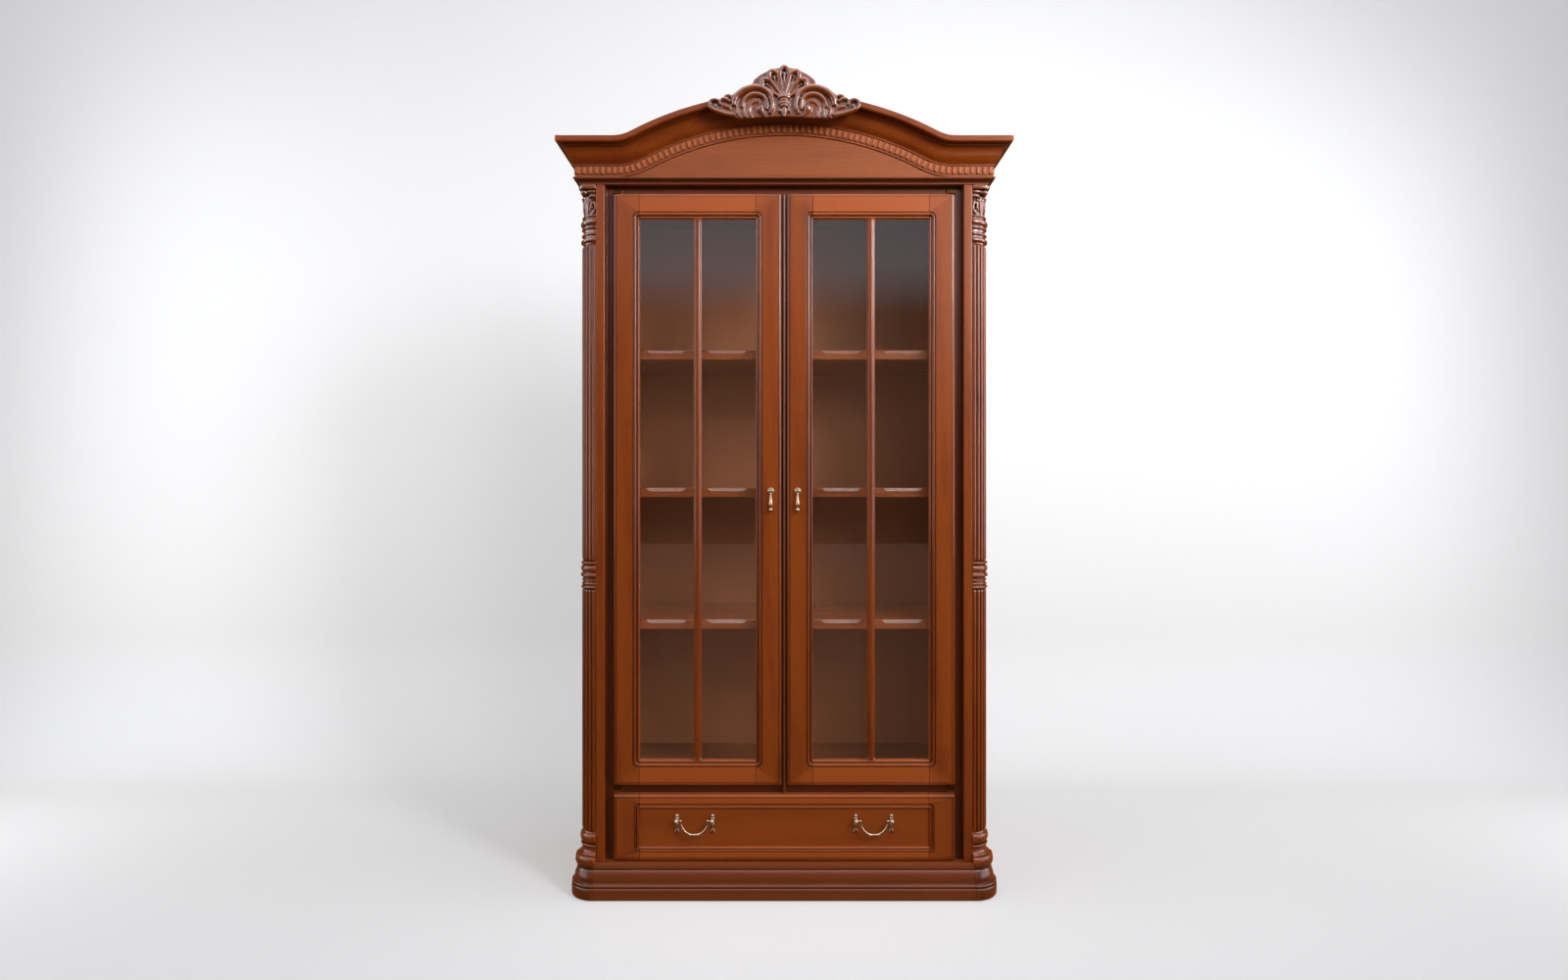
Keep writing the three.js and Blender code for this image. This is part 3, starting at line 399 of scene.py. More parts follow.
def arch_sections(half, profile, steps=120):
    """Sections of a moulding along the arch; its profile is [proud of the doors, below the top line]."""
    sections = []
    for i in range(steps + 1):
        x = half * (2 * i / steps - 1)
        section = []
        for proud, below in profile:
            across, z = arch_point(x, below)
            section.append((across, FACE_Y - proud, z))
        sections.append(section)
    return sections


def frame_ring(loops, cuts=7):
    """Sections of a four-sided frame, from corner to corner; loops are [rectangle, grow, radius, y]."""
    sections = []
    for corner, (right, up) in enumerate([(1, 1), (-1, 1), (-1, -1), (1, -1)]):
        for i in range(cuts + 1):
            turn = math.pi / 2 * (corner + i / cuts)
            section = []
            for (x0, x1, z0, z1), grow, radius, y in loops:
                reach_x = (x1 - x0) / 2 + grow - radius
                reach_z = (z1 - z0) / 2 + grow - radius
                section.append((
                    (x0 + x1) / 2 + right * reach_x + radius * math.cos(turn), y,
                    (z0 + z1) / 2 + up * reach_z + radius * math.sin(turn),
                ))
            sections.append(section)
    return sections


def rib(points, flat=1.0):
    """A carver's rib: a tapering round bar through points of [x, y, z, radius]."""
    bpy.ops.object.select_all(action="DESELECT")
    bpy.ops.curve.primitive_bezier_curve_add()
    bar = bpy.context.object
    bar.data.splines.clear()
    line = bar.data.splines.new("BEZIER")
    line.bezier_points.add(len(points) - 1)
    for knot, (x, y, z, radius) in zip(line.bezier_points, points):
        knot.co = Vector((x, y, z)) * MM
        knot.handle_left_type = knot.handle_right_type = "AUTO"
        knot.radius = radius
    line.resolution_u = 6
    bar.data.bevel_depth = MM
    bar.data.bevel_resolution = 3
    bar.data.use_fill_caps = True
    bpy.ops.object.convert(target="MESH")
    piece = bpy.context.object
    edit(piece)
    close_up()
    return piece


def ball(x, y, z, radius, squash=1.0):
    bpy.ops.object.select_all(action="DESELECT")
    bpy.ops.mesh.primitive_uv_sphere_add(
        segments=20, ring_count=12, radius=radius * MM, location=Vector((x, y, z)) * MM,
        scale=(1, squash, 1),
    )
    bpy.ops.object.transform_apply(location=True, rotation=True, scale=True)
    return bpy.context.object


def carved(name, pieces, grain, passes=3):
    """Runs overlapping forms together into one skin, as they're cut from one block."""
    piece = joined(name, pieces)
    modified(piece, "REMESH", mode="VOXEL", voxel_size=grain, adaptivity=0)
    modified(piece, "SMOOTH", factor=0.5, iterations=passes)
    return piece


# ---------------------------------------------------------------- finishes
def node(tree, kind, settings=None, **links):
    """Adds a shader node. Settings set its properties; links fill its inputs, by name."""
    made = tree.nodes.new("ShaderNode" + kind)
    for key, value in (settings or {}).items():
        setattr(made, key, value)
    for key, value in links.items():
        wanted = key.replace("_", " ")
        socket = made.inputs[int(key[3:])] if key.startswith("in_") else made.inputs[wanted]
        if isinstance(value, bpy.types.NodeSocket):
            tree.links.new(value, socket)
        else:
            socket.default_value = value
    return made


def started(name):
    material = bpy.data.materials.new(name)
    material.use_nodes = True
    material.node_tree.nodes.clear()
    return material, material.node_tree


def rgba(value):
    return (*value, 1)


GRAIN_TURN = {"X": (0, math.pi / 2, 0), "Y": (math.pi / 2, 0, 0), "Z": (0, 0, 0)}


def mixed(tree, factor, first, second, how="MIX"):
    """The colour between two, by a factor."""
    made = tree.nodes.new("ShaderNodeMix")
    made.data_type = "RGBA"
    made.blend_type = how
    for socket, value in ((made.inputs[0], factor), (made.inputs[6], first), (made.inputs[7], second)):
        if isinstance(value, bpy.types.NodeSocket):
            tree.links.new(value, socket)
        else:
            socket.default_value = value
    return made.outputs[2]


def wood(name, axis, light, dark, glaze_and_shade, depth=1.0, gloss=0.27, coat=0.35, band=22, pore=0.4,
         reach=0.026, shine=0.28):
    """Stained and lacquered wood with its grain along an axis.

    The eye gets: soft figure some 20 mm wide and half a metre long, pores as fine dark streaks,
    blotches where the stain took, umber glaze with painted shade in the recesses, arrises painted pale
    as rubbed wear and as a painted highlight, and clear gloss.
    """
    found = bpy.data.materials.get(name)
    if found:
        return found
    material, tree = started(name)

    # each board is cut from another place in the tree, and turned to its own grain
    place = node(tree, "TexCoord").outputs["Object"]
    info = node(tree, "ObjectInfo").outputs["Random"]
    shift = node(tree, "VectorMath", {"operation": "SCALE"}, in_0=(3.1, 4.7, 5.3), Scale=info)
    moved = node(tree, "VectorMath", {"operation": "ADD"}, in_0=place, in_1=shift.outputs[0])
    turned = node(tree, "Mapping", Vector=moved.outputs[0], Rotation=GRAIN_TURN[axis])

    # figure, streaks and blotches together say how light the stain came out
    waves_per_metre = 314 / band / 1.7
    long_grain = node(tree, "Mapping", Vector=turned.outputs[0], Scale=(1, 1, 0.06))
    figure = node(
        tree, "TexWave", {"wave_type": "BANDS", "bands_direction": "DIAGONAL"},
        Vector=long_grain.outputs[0], Scale=waves_per_metre, Distortion=7.0, Detail=3.0,
        Detail_Scale=1.2, Detail_Roughness=0.55,
    )
    fibre = node(tree, "Mapping", Vector=turned.outputs[0], Scale=(1, 1, 0.022))
    streaks = node(tree, "TexNoise", Vector=fibre.outputs[0], Scale=330.0, Detail=4.0, Roughness=0.6)
    pores = node(tree, "TexNoise", Vector=fibre.outputs[0], Scale=760.0, Detail=1.0, Roughness=0.5)
    blotch = node(tree, "TexNoise", Vector=turned.outputs[0], Scale=5.5, Detail=3.0, Roughness=0.55)
    tone = node(tree, "Math", {"operation": "MULTIPLY"}, in_0=figure.outputs["Fac"], in_1=0.42)
    tone = node(
        tree, "Math", {"operation": "MULTIPLY_ADD"},
        in_0=streaks.outputs["Fac"], in_1=0.5, in_2=tone.outputs[0],
    )
    tone = node(
        tree, "Math", {"operation": "MULTIPLY_ADD", "use_clamp": True},
        in_0=blotch.outputs["Fac"], in_1=0.95, in_2=tone.outputs[0],
    )
    spread = node(
        tree, "MapRange", Value=tone.outputs[0],
        From_Min=0.45, From_Max=1.3, To_Min=0.0, To_Max=1.0,
    )
    colour_now = mixed(tree, spread.outputs[0], rgba(dark), rgba(light))

    # open pores hold more stain
    pits = node(tree, "MapRange", Value=pores.outputs["Fac"], From_Min=0.36, From_Max=0.5,
                To_Min=1.0, To_Max=0.0)
    pit_share = node(tree, "Math", {"operation": "MULTIPLY"}, in_0=pits.outputs[0], in_1=pore)
    dark_pore = tuple(c * 0.45 for c in dark)
    colour_now = mixed(tree, pit_share.outputs[0], colour_now, rgba(dark_pore))

    # umber glaze and painted shade darken the recesses; the arrises are painted pale, partly as rubbed
    # wear and partly as a painted highlight
    # painted shade: ambient occlusion darkens the recesses towards the glaze colour, as the shade there
    # would
    hollow = node(tree, "AmbientOcclusion", {"samples": 6, "only_local": True}, Distance=reach)
    shade = node(tree, "MapRange", Value=hollow.outputs["AO"],
                 From_Min=0.4, From_Max=0.9, To_Min=depth, To_Max=0.0)
    colour_now = mixed(tree, shade.outputs[0], colour_now, rgba(glaze_and_shade))
    # painted highlight and wear: pointiness paints the convex arrises pale, as rubbed wood and as the
    # light they catch
    point = node(tree, "NewGeometry").outputs["Pointiness"]
    wear_and_painted_highlight = node(tree, "MapRange", Value=point, From_Min=0.53, From_Max=0.62, To_Min=0.0, To_Max=0.7)
    rubbed = tuple(min(1, c * 1.7 + 0.02) for c in light)
    colour_now = mixed(tree, wear_and_painted_highlight.outputs[0], colour_now, rgba(rubbed))

    # the lacquer follows the grain a little and lies smooth on top
    rough = node(tree, "MapRange", Value=streaks.outputs["Fac"], From_Min=0.3, From_Max=0.7,
                 To_Min=gloss, To_Max=gloss + 0.12)
    height = node(tree, "Math", {"operation": "SUBTRACT"}, in_0=streaks.outputs["Fac"],
                  in_1=pits.outputs[0])
    bump = node(tree, "Bump", Height=height.outputs[0], Strength=0.10, Distance=0.0004)
    shader = node(
        tree, "BsdfPrincipled", Base_Color=colour_now, Roughness=rough.outputs[0],
        Normal=bump.outputs[0],
    )
    shader.inputs["Specular IOR Level"].default_value = shine
    shader.inputs["Coat Weight"].default_value = coat
    shader.inputs["Coat Roughness"].default_value = 0.12
    shader.inputs["Coat IOR"].default_value = 1.45
    node(tree, "OutputMaterial", Surface=shader.outputs[0])
    return material


def deeper(light_share, dark_share):
    """The cherry's light and dark grain, each brought down to a share of its tone, and the colour of the
    umber glaze and painted shade.
    """
    hues = bpy.context.scene.cabinet_colours
    light = tuple(c * light_share for c in hues.cherry_light)
    dark = tuple(c * dark_share for c in hues.cherry_dark)
    return light, dark, hues.glaze_and_shade


def cherry(axis):
    """Cherry, stained and sprayed with lacquer: warm orange-brown, glossy, dark in the quirks."""
    hues = bpy.context.scene.cabinet_colours
    return wood(f"lacquered_cherry_{axis}", axis, hues.cherry_light, hues.cherry_dark, hues.glaze_and_shade)


def rebated_cherry():
    """The posts' cherry: its glaze and painted shade reach 70 mm, so the rebate beside the doors is
    painted nearly black, as the shadow there is.
    """
    hues = bpy.context.scene.cabinet_colours
    # painted shade: the long reach paints the shadow in the rebate beside the doors
    return wood("rebated_cherry", "Z", hues.cherry_light, hues.cherry_dark, hues.glaze_and_shade, reach=0.07)


def plinth_shaded_cherry(axis):
    """Cherry brought down to 0.56 of its tone for the plinth, with the same gloss: painted shade for the
    dimmer light low down.
    """
    light, dark, glaze_and_shade = deeper(0.56, 0.56)
    return wood(f"plinth_cherry_{axis}", axis, light, dark, glaze_and_shade)


def shelf_cherry():
    """The shelves' deeper cherry, sprayed thick, so that the stopped chamfers glint."""
    light, dark, glaze_and_shade = deeper(0.55, 0.55)
    return wood("shelf_cherry_X", "X", light, dark, glaze_and_shade, gloss=0.18, coat=0.9, shine=0.5)


def shaded_cherry(axis):
    """The same lacquered cherry brought darker, for the rails, stile and top board: painted shade, as
    they lie in shadow under the cornice and under and between the doors.
    """
    # painted shade: the grain taken down to 0.45 and 0.4 of its tone
    light, dark, glaze_and_shade = deeper(0.45, 0.4)
    return wood(f"dark_stained_cherry_{axis}", axis, light, dark, glaze_and_shade)


def carved_cherry():
    """Carved cherry: umber glaze wiped off the ridges and left in the cuts, where it also paints their
    shade, under high gloss.
    """
    light, dark, glaze_and_shade = deeper(0.85, 0.8)
    return wood("glazed_carved_cherry", "Z", light, dark, glaze_and_shade, gloss=0.18, coat=0.9, reach=0.013,
                shine=0.5)


def panel_veneer():
    """Cherry veneer laid with its grain across the arch, more matt than the solid; its rosier, paler
    tone is a painted sheen of the ceiling light on the upright faces.
    """
    hues = bpy.context.scene.cabinet_colours
    return wood("rosy_cherry_veneer", "X", hues.panel_light, hues.panel_dark, hues.glaze_and_shade,
                depth=0.5, gloss=0.38, coat=0.2, band=34)


def inside_veneer(axis):
    """Brown veneer inside the glazed part, satin lacquer."""
    hues = bpy.context.scene.cabinet_colours
    return wood(f"satin_inside_veneer_{axis}", axis, hues.inside_light, hues.inside_dark, hues.glaze_and_shade,
                depth=0.5, gloss=0.45, coat=0.1, band=40)


def beech(axis):
    """Bare waxed beech of the drawer box: pale, matt, with short dark flecks."""
    hues = bpy.context.scene.cabinet_colours
    return wood(f"waxed_beech_{axis}", axis, hues.beech_light, hues.beech_dark, hues.inside_dark,
                depth=0.4, gloss=0.55, coat=0.0, band=30, pore=0.7)


def metal(name, bright, dull, rough, hollow_share=0.9):
    """Cast metal, rubbed bright on what stands out, tarnished in the hollows."""
    found = bpy.data.materials.get(name)
    if found:
        return found
    material, tree = started(name)
    place = node(tree, "TexCoord").outputs["Object"]
    cloud = node(tree, "TexNoise", Vector=place, Scale=260.0, Detail=4.0, Roughness=0.6)
    grit = node(tree, "TexNoise", Vector=place, Scale=1500.0, Detail=2.0, Roughness=0.5)
    hollow = node(tree, "AmbientOcclusion", {"samples": 6, "only_local": True}, Distance=0.003)
    shade = node(tree, "MapRange", Value=hollow.outputs["AO"],
                 From_Min=0.4, From_Max=0.95, To_Min=hollow_share, To_Max=0.0)
    spots = node(tree, "MapRange", Value=cloud.outputs["Fac"], From_Min=0.5, From_Max=0.75,
                 To_Min=0.0, To_Max=0.5)
    dirt = node(tree, "Math", {"operation": "MAXIMUM"}, in_0=shade.outputs[0], in_1=spots.outputs[0])
    skin = mixed(tree, dirt.outputs[0], rgba(bright), rgba(dull))
    rougher = node(tree, "MapRange", Value=dirt.outputs[0], From_Min=0.0, From_Max=1.0,
                   To_Min=rough, To_Max=rough + 0.3)
    bump = node(tree, "Bump", Height=grit.outputs["Fac"], Strength=0.12, Distance=0.0001)
    shader = node(tree, "BsdfPrincipled", Base_Color=skin, Metallic=1.0,
                  Roughness=rougher.outputs[0], Normal=bump.outputs[0])
    node(tree, "OutputMaterial", Surface=shader.outputs[0])
    return material


def antique_nickel():
    """Nickel plate over cast brass, browned with age: warm grey highlights on a dark body."""
    hues = bpy.context.scene.cabinet_colours
    return metal("antique_nickel_plate", hues.nickel, hues.tarnish, 0.26)


def pivot_brass():
    """Stamped brass with a dull lacquer."""
    hues = bpy.context.scene.cabinet_colours
    return metal("lacquered_brass", hues.brass, hues.tarnish, 0.34, 0.7)


def float_glass():
    """Clear 4 mm float glass: sharp reflections, a trace of green. Lamps reach what is behind it."""
    found = bpy.data.materials.get("clear_float_glass")
    if found:
        return found
    material, tree = started("clear_float_glass")
    place = node(tree, "TexCoord").outputs["Object"]
    waves = node(tree, "TexNoise", Vector=place, Scale=3.0, Detail=1.0)
    bump = node(tree, "Bump", Height=waves.outputs["Fac"], Strength=0.02, Distance=0.002)
    pane = node(tree, "BsdfPrincipled", Base_Color=(0.965, 0.985, 0.975, 1), Normal=bump.outputs[0])
    pane.inputs["Roughness"].default_value = 0.01
    pane.inputs["IOR"].default_value = 1.5
    pane.inputs["Transmission Weight"].default_value = 1.0
    clear = node(tree, "BsdfTransparent", Color=(0.96, 0.98, 0.97, 1))
    path = node(tree, "LightPath")
    both = node(tree, "MixShader", in_0=path.outputs["Is Shadow Ray"], in_1=pane.outputs[0],
                in_2=clear.outputs[0])
    node(tree, "OutputMaterial", Surface=both.outputs[0])
    return material


def studio_paint():
    """Matt white studio paint. The wall is clear from behind, so the cabinet's back can be seen.

    Only straight on is it white: the lacquer and the panes meet the brown floor of a room. It also glows
    as painted light: brighter to the camera, faintly warm in reflections.
    """
    found = bpy.data.materials.get("studio_paint")
    if found:
        return found
    material, tree = started("studio_paint")
    hues = bpy.context.scene.cabinet_colours
    place = node(tree, "TexCoord").outputs["Object"]
    cloud = node(tree, "TexNoise", Vector=place, Scale=1.5, Detail=2.0)
    tone = mixed(tree, cloud.outputs["Fac"], rgba(hues.wall), rgba(tuple(c * 0.97 for c in hues.wall)))
    path = node(tree, "LightPath")
    seen = path.outputs["Is Camera Ray"]
    brown_floor, black = rgba(linear("#3e2413")), (0, 0, 0, 1)
    # painted light: emission brightens wall and floor to the camera and warms them in reflections
    mirrored_glow, painted_glow_to_camera = (0.16, 0.06, 0.01, 1), (0.27, 0.28, 0.285, 1)
    tone = mixed(tree, seen, brown_floor, tone)
    glow = mixed(tree, path.outputs["Is Glossy Ray"], black, mirrored_glow)
    glow = mixed(tree, seen, glow, painted_glow_to_camera)
    paint = node(tree, "BsdfPrincipled", Base_Color=tone, Roughness=0.85, Emission_Color=glow)
    paint.inputs["Emission Strength"].default_value = 1.0
    clear = node(tree, "BsdfTransparent")
    behind = node(tree, "NewGeometry").outputs["Backfacing"]
    both = node(tree, "MixShader", in_0=behind, in_1=paint.outputs[0], in_2=clear.outputs[0])
    node(tree, "OutputMaterial", Surface=both.outputs[0])
    return material


# ---------------------------------------------------------------- plinth
def plinth_profile(top):
    """[step out, height] from the foot up: flat, two beads, a cove and the given top member."""
    points = quarter_round((-6, 0), (0, 7), "u", 5) + [(0, 28)]
    points += half_round((-0.8, 28.5), (-3.5, 33), 1.4, 5)
    points += [(-5.5, 33.6)] + half_round((-4.2, 34.4), (-4.2, 42.6), 3.2, 7)
    points += [(-6.5, 43.4), (-8, 44.5), (-8.4, 46.5)]
    points += quarter_round((-8.6, 47), (-19, 79), "v", 8)
    return points + top


def torus_profile(top):
    """[step out, height] of the torus that the corner block shares with the foot of the column."""
    return half_round((-18, PLINTH_TOP - 15), (-14, top + 16), 8, 14)


class CABINET_OT_plinth(bpy.types.Operator):
    """Model the plinth: front rail, quarter-round corner blocks and side rails"""

    bl_idname = "cabinet.plinth"
    bl_label = "Plinth"

    def execute(self, context):
        rail = plinth_profile([(-19, 81), (-14.4, 81.4), (-14, 82), (-14, 90), (-16, PLINTH_TOP)])
        torus = [point for point in torus_profile(PLINTH_TOP) if point[1] < PLINTH_TOP]
        block = plinth_profile(torus + [(-10.6, PLINTH_TOP)])
        fuller = 1.6  # the corner block stands out from the rails between its foot and its cove
        block = [(out + fuller if 2 < z < 60 else out, z) for out, z in block]
        corner_r = high("plinth_corner_right").x - low("plinth_corner_right").x
        corner_x, corner_y = PLINTH_HALF - corner_r, PLINTH_Y + corner_r
        depth = 60
        back = [(-depth, PLINTH_TOP), (-depth, 0)]
        seam = 0.4

        def along_front(x):
            return [(x, PLINTH_Y - out, z) for out, z in rail + back]

        end = corner_x - seam
        piece = drawn("plinth_front_moulding", [along_front(-end), along_front(end)])
        finished(piece, "case", plinth_shaded_cherry("X"), "plinth_front")

        steps = 16
        sections = []
        for i in range(steps + 1):
            turn = math.pi / 2 * i / steps
            sections.append([
                (corner_x + r * math.sin(turn), corner_y - r * math.cos(turn), z)
                for r, z in [(corner_r + out, z) for out, z in block] + [(0, PLINTH_TOP), (0, 0)]
            ])
        right = drawn("plinth_corner_block_right", sections)
        finished_pair(right, "case", plinth_shaded_cherry("X"), "plinth_corner_right")

        def along_side(y):
            return [(PLINTH_HALF + out, y, z) for out, z in rail + back]

        right = drawn("plinth_side_moulding_right", [along_side(corner_y + seam), along_side(BACK_Y)])
        finished_pair(right, "case", plinth_shaded_cherry("Y"), "plinth_side_right")
        return {"FINISHED"}


# ---------------------------------------------------------------- case
class CABINET_OT_case_boards(bpy.types.Operator):
    """Ease the edges of the posts, sides, back, floors and rails and give each board its grain"""

    bl_idname = "cabinet.case_boards"
    bl_label = "Case boards"

    def execute(self, context):
        edge = context.scene.cabinet_sizes.edge / MM
        boards = [
            ("corner_post_right", "pilaster_post_right", rebated_cherry(), "case_wood", 2.4 * edge),
            ("corner_post_left", "pilaster_post_left", rebated_cherry(), "case_wood", 2.4 * edge),
            ("side_panel_right", "case_side_right", cherry("Z"), "case_wood", edge),
            ("side_panel_left", "case_side_left", cherry("Z"), "case_wood", edge),
            ("back_panel", "case_back", inside_veneer("Z"), "interior_wood", edge / 2),
            ("bottom_board", "case_bottom", inside_veneer("X"), "interior_wood", edge),
            ("display_floor", "case_display_floor", inside_veneer("X"), "interior_wood", edge),
            ("lower_rail", "rail_over_drawer", shaded_cherry("X"), "dark_wood", edge),
            ("top_rail", "rail_over_doors", shaded_cherry("X"), "dark_wood", edge),
        ]
        for source, name, material, slot, width in boards:
            piece = merged_copy(source, name)
            rounded(piece, width)
            finished(piece, "case", material, source)
        return {"FINISHED"}


class CABINET_OT_centre_stile(bpy.types.Operator):
    """Model the fixed stile with the bead that shows between the doors"""

    bl_idname = "cabinet.centre_stile"
    bl_label = "Centre stile"

    def execute(self, context):
        source = "centre_stile"
        foot, head, front = low(source).z, high(source).z, low(source).y
        half, back = high(source).x, high(source).y
        bead, post_y = 3.3, FRAME_Y - 0.4
        round_part = half_round((-bead, front + 3.2), (bead, front + 3.2), 3.2, 10)

        def section(z, lift=0.0):
            nose = [(x, front + lift + (y - front) if y < front + 3.2 else y, z) for x, y in round_part]
            return [(-bead, post_y, z)] + nose + [(bead, post_y, z)]

        strip = drawn("stile_bead", [section(foot + 2, 1.2), section(foot + 3.5), section(head - 3.5),
                                     section(head - 2, 1.2)])
        cap = ball(0, front + 4.6, head - 5, 4.4, 0.9)
        post = drawn("stile_post", [
            [(-half, post_y, z), (half, post_y, z), (half, back, z), (-half, back, z)]
            for z in (DOOR_Z + GAP, DOOR_TOP - 28.3)
        ])
        rounded(post, 1)
        piece = joined("beaded_centre_stile", [strip, cap, post])
        finished(piece, "case", shaded_cherry("Z"), source)
        return {"FINISHED"}


class CABINET_OT_shelves(bpy.types.Operator):
    """Model the three shelves with stopped chamfers along the front edge"""

    bl_idname = "cabinet.shelves"
    bl_label = "Shelves"

    def execute(self, context):
        chamfer = context.scene.cabinet_sizes.chamfer / MM
        arris, tongue = 0.8, 14
        runs = [(SIGHT_IN + 24, BAR_X - BAR_HALF - 12), (BAR_X + BAR_HALF + 24, SIGHT_OUT - 12)]
        runs += [(-end, -begin) for begin, end in runs]

        def depth_at(x):
            """Chamfer at x: it runs out in a lamb's tongue at both ends."""
            size = arris
            for begin, end in runs:
                inside = min(x - begin, end - x) / tongue
                if inside > 0:
                    rise = min(1, inside)
                    size = max(size, arris + (chamfer - arris) * math.sin(rise * math.pi / 2) ** 0.8)
            return size

        for level in ("lower", "middle", "upper"):
            source = f"shelf_{level}"
            top, foot, front = high(source).z, low(source).z, low(source).y
            back, reach = high(source).y, high(source).x
            inner, behind = low("corner_post_right").x - GAP, high("corner_post_right").y + GAP
            stops = {-inner, inner}
            for begin, end in runs:
                stops.update({begin - 0.5, end + 0.5})
                for i in range(11):
                    stops.update({begin + tongue * i / 10, end - tongue * i / 10})
            sections = []
            for x in sorted(stops):
                size = depth_at(x)
                sections.append([
                    (x, back, foot), (x, front + 1, foot), (x, front, foot + 1),
                    (x, front, top - size), (x, front + size * 0.2, top - size * 0.68),
                    (x, front + size * 0.4, top - size * 0.35), (x, front + size * 0.62, top),
                    (x, back, top),
                ])
            board = drawn("shelf_board", sections)
            end = [(behind, foot), (behind, top), (back, top), (back, foot)]
            wings = [
                drawn("shelf_wing", [[(side * x, y, z) for y, z in end] for x in (inner, reach)])
                for side in (1, -1)
            ]
            piece = joined(f"chamfered_shelf_{level}", [*wings, board])
            finished(piece, "case", shelf_cherry(), source, angle=28)
        return {"FINISHED"}


class CABINET_OT_top_board(bpy.types.Operator):
    """Model the moulded board under the frieze"""

    bl_idname = "cabinet.top_board"
    bl_label = "Top board"

    def execute(self, context):
        profile = [(-2, 0), (-1, 0.6), (-1, 3)]
        profile += quarter_round((-0.5, 3.6), (6, 9), "v", 5)
        profile += [(6.5, 9.8), (7.5, 10)]
        profile += half_round((8.6, 10.6), (8.6, 17.4), 4.2, 8)
        profile += [(7.5, FRIEZE_FOOT - POST_TOP)]
        sections = []
        for out, rise in profile:
            half, front, z = CASE_HALF + out, FACE_Y - out, POST_TOP + rise
            sections.append([(-half, front, z), (half, front, z), (half, BACK_Y, z), (-half, BACK_Y, z)])
        piece = drawn("moulded_top_board", sections)
        finished(piece, "case", shaded_cherry("X"), "top_board")
        return {"FINISHED"}


# ---------------------------------------------------------------- corner columns
def quarter_turned(name, profile, steps=16):
    """A quarter of a turned form round the column's centre; profile is [out from the column, z]."""
    sections = []
    foot, head = profile[0][1], profile[-1][1]
    for i in range(steps + 1):
        turn = math.pi / 2 * i / steps
        sections.append([
            (COLUMN_X + r * math.sin(turn), COLUMN_Y - r * math.cos(turn), z)
            for r, z in [(COLUMN_R + out, z) for out, z in profile] + [(0, head), (0, foot)]
        ])
    return drawn(name, sections)


class CABINET_OT_columns(bpy.types.Operator):
    """Model the quarter-round columns: turned base, middle band and reeded shafts"""

    bl_idname = "cabinet.columns"
    bl_label = "Columns"

    def execute(self, context):
        sizes = context.scene.cabinet_sizes
        reed_depth, reeds = sizes.reed_depth / MM, sizes.reeds
        foot = CASE_Z
        set_out = PLINTH_HALF - CASE_HALF
        torus = [(out + set_out, z) for out, z in torus_profile(CASE_Z)]
        base = [(14.2, foot)] + [point for point in torus if point[1] > foot + 1]
        base += [(6, foot + 17.5), (7, foot + 19), (5.5, foot + 21)]
        base += quarter_round((4.6, foot + 21.6), (-1.5, foot + 37), "u", 7)
        base += [(-1, foot + 38)]
        base += half_round((0.4, foot + 38.6), (0.4, foot + 45), 2.4, 6)
        base += [(-3, foot + 46.4), (-3, foot + 48.4), (-0.6, foot + 49.4)]
        base += half_round((-0.6, foot + 50), (-2.2, foot + 74), 6.0, 12)
        base += [(-3.6, foot + 78)]
        base_top = foot + 78

        mid = CASE_Z + BAND_RISE
        band = [(-4, mid), (0.4, mid + 0.6)]
        band += half_round((0.8, mid + 1), (0.8, mid + 7), 1.8, 6)
        band += [(0.2, mid + 8), (-2.4, mid + 9)]
        band += half_round((-2.8, mid + 10), (-2.8, mid + 17), 3.4, 7)
        band += [(-3, mid + 18), (-3, mid + 20)]
        band += half_round((-1.6, mid + 21), (-1.6, mid + 26), 2.2, 6)
        band += [(-3, mid + 27.5), (-3, mid + 30)]
        band += half_round((-0.4, mid + 31.5), (-0.4, mid + 42), 4.2, 8)
        band += [(-1, mid + 43.5), (-3, mid + 44.5)]
        band += half_round((-3.2, mid + 45.5), (-3.2, mid + 64), 6, 9)
        band += [(-3, mid + 65.5), (0, mid + 66.5)]
        band += half_round((0.8, mid + 67), (0.8, mid + 73), 1.8, 6)
        band += [(-4, mid + 74)]
        mid_top = mid + 74

        cuts = 9
        plan = []
        for i in range(reeds * cuts + 1):
            across = (i % cuts) / cuts * 2 - 1
            swell = math.sqrt(max(0, 1 - across * across))
            plan.append((math.pi / 2 * i / (reeds * cuts), reed_depth * (1 - swell)))

        def shaft_section(z, sink):
            """Plan of the shaft; sink draws the reeds in where they end."""
            return [(COLUMN_X, COLUMN_Y, z)] + [
                (COLUMN_X + (COLUMN_R - max(groove, sink)) * math.sin(turn),
                 COLUMN_Y - (COLUMN_R - max(groove, sink)) * math.cos(turn), z)
                for turn, groove in plan
            ]

        def shaft(begin, end):
            ends = [(0, 1.0), (1.2, 0.62), (3, 0.3), (6, 0.08), (9, 0.0)]
            levels = [(begin + step, sink) for step, sink in ends]
            levels += [(end - step, sink) for step, sink in reversed(ends)]
            return drawn("reeded_shaft", [shaft_section(z, sink * reed_depth) for z, sink in levels])

        right = joined("reeded_column_right", [
            quarter_turned("column_base", base), quarter_turned("column_band", band),
            shaft(base_top, mid), shaft(mid_top, CAPITAL_Z - GAP),
        ])
        finished_pair(right, "case", cherry("Z"), "column_right")
        return {"FINISHED"}


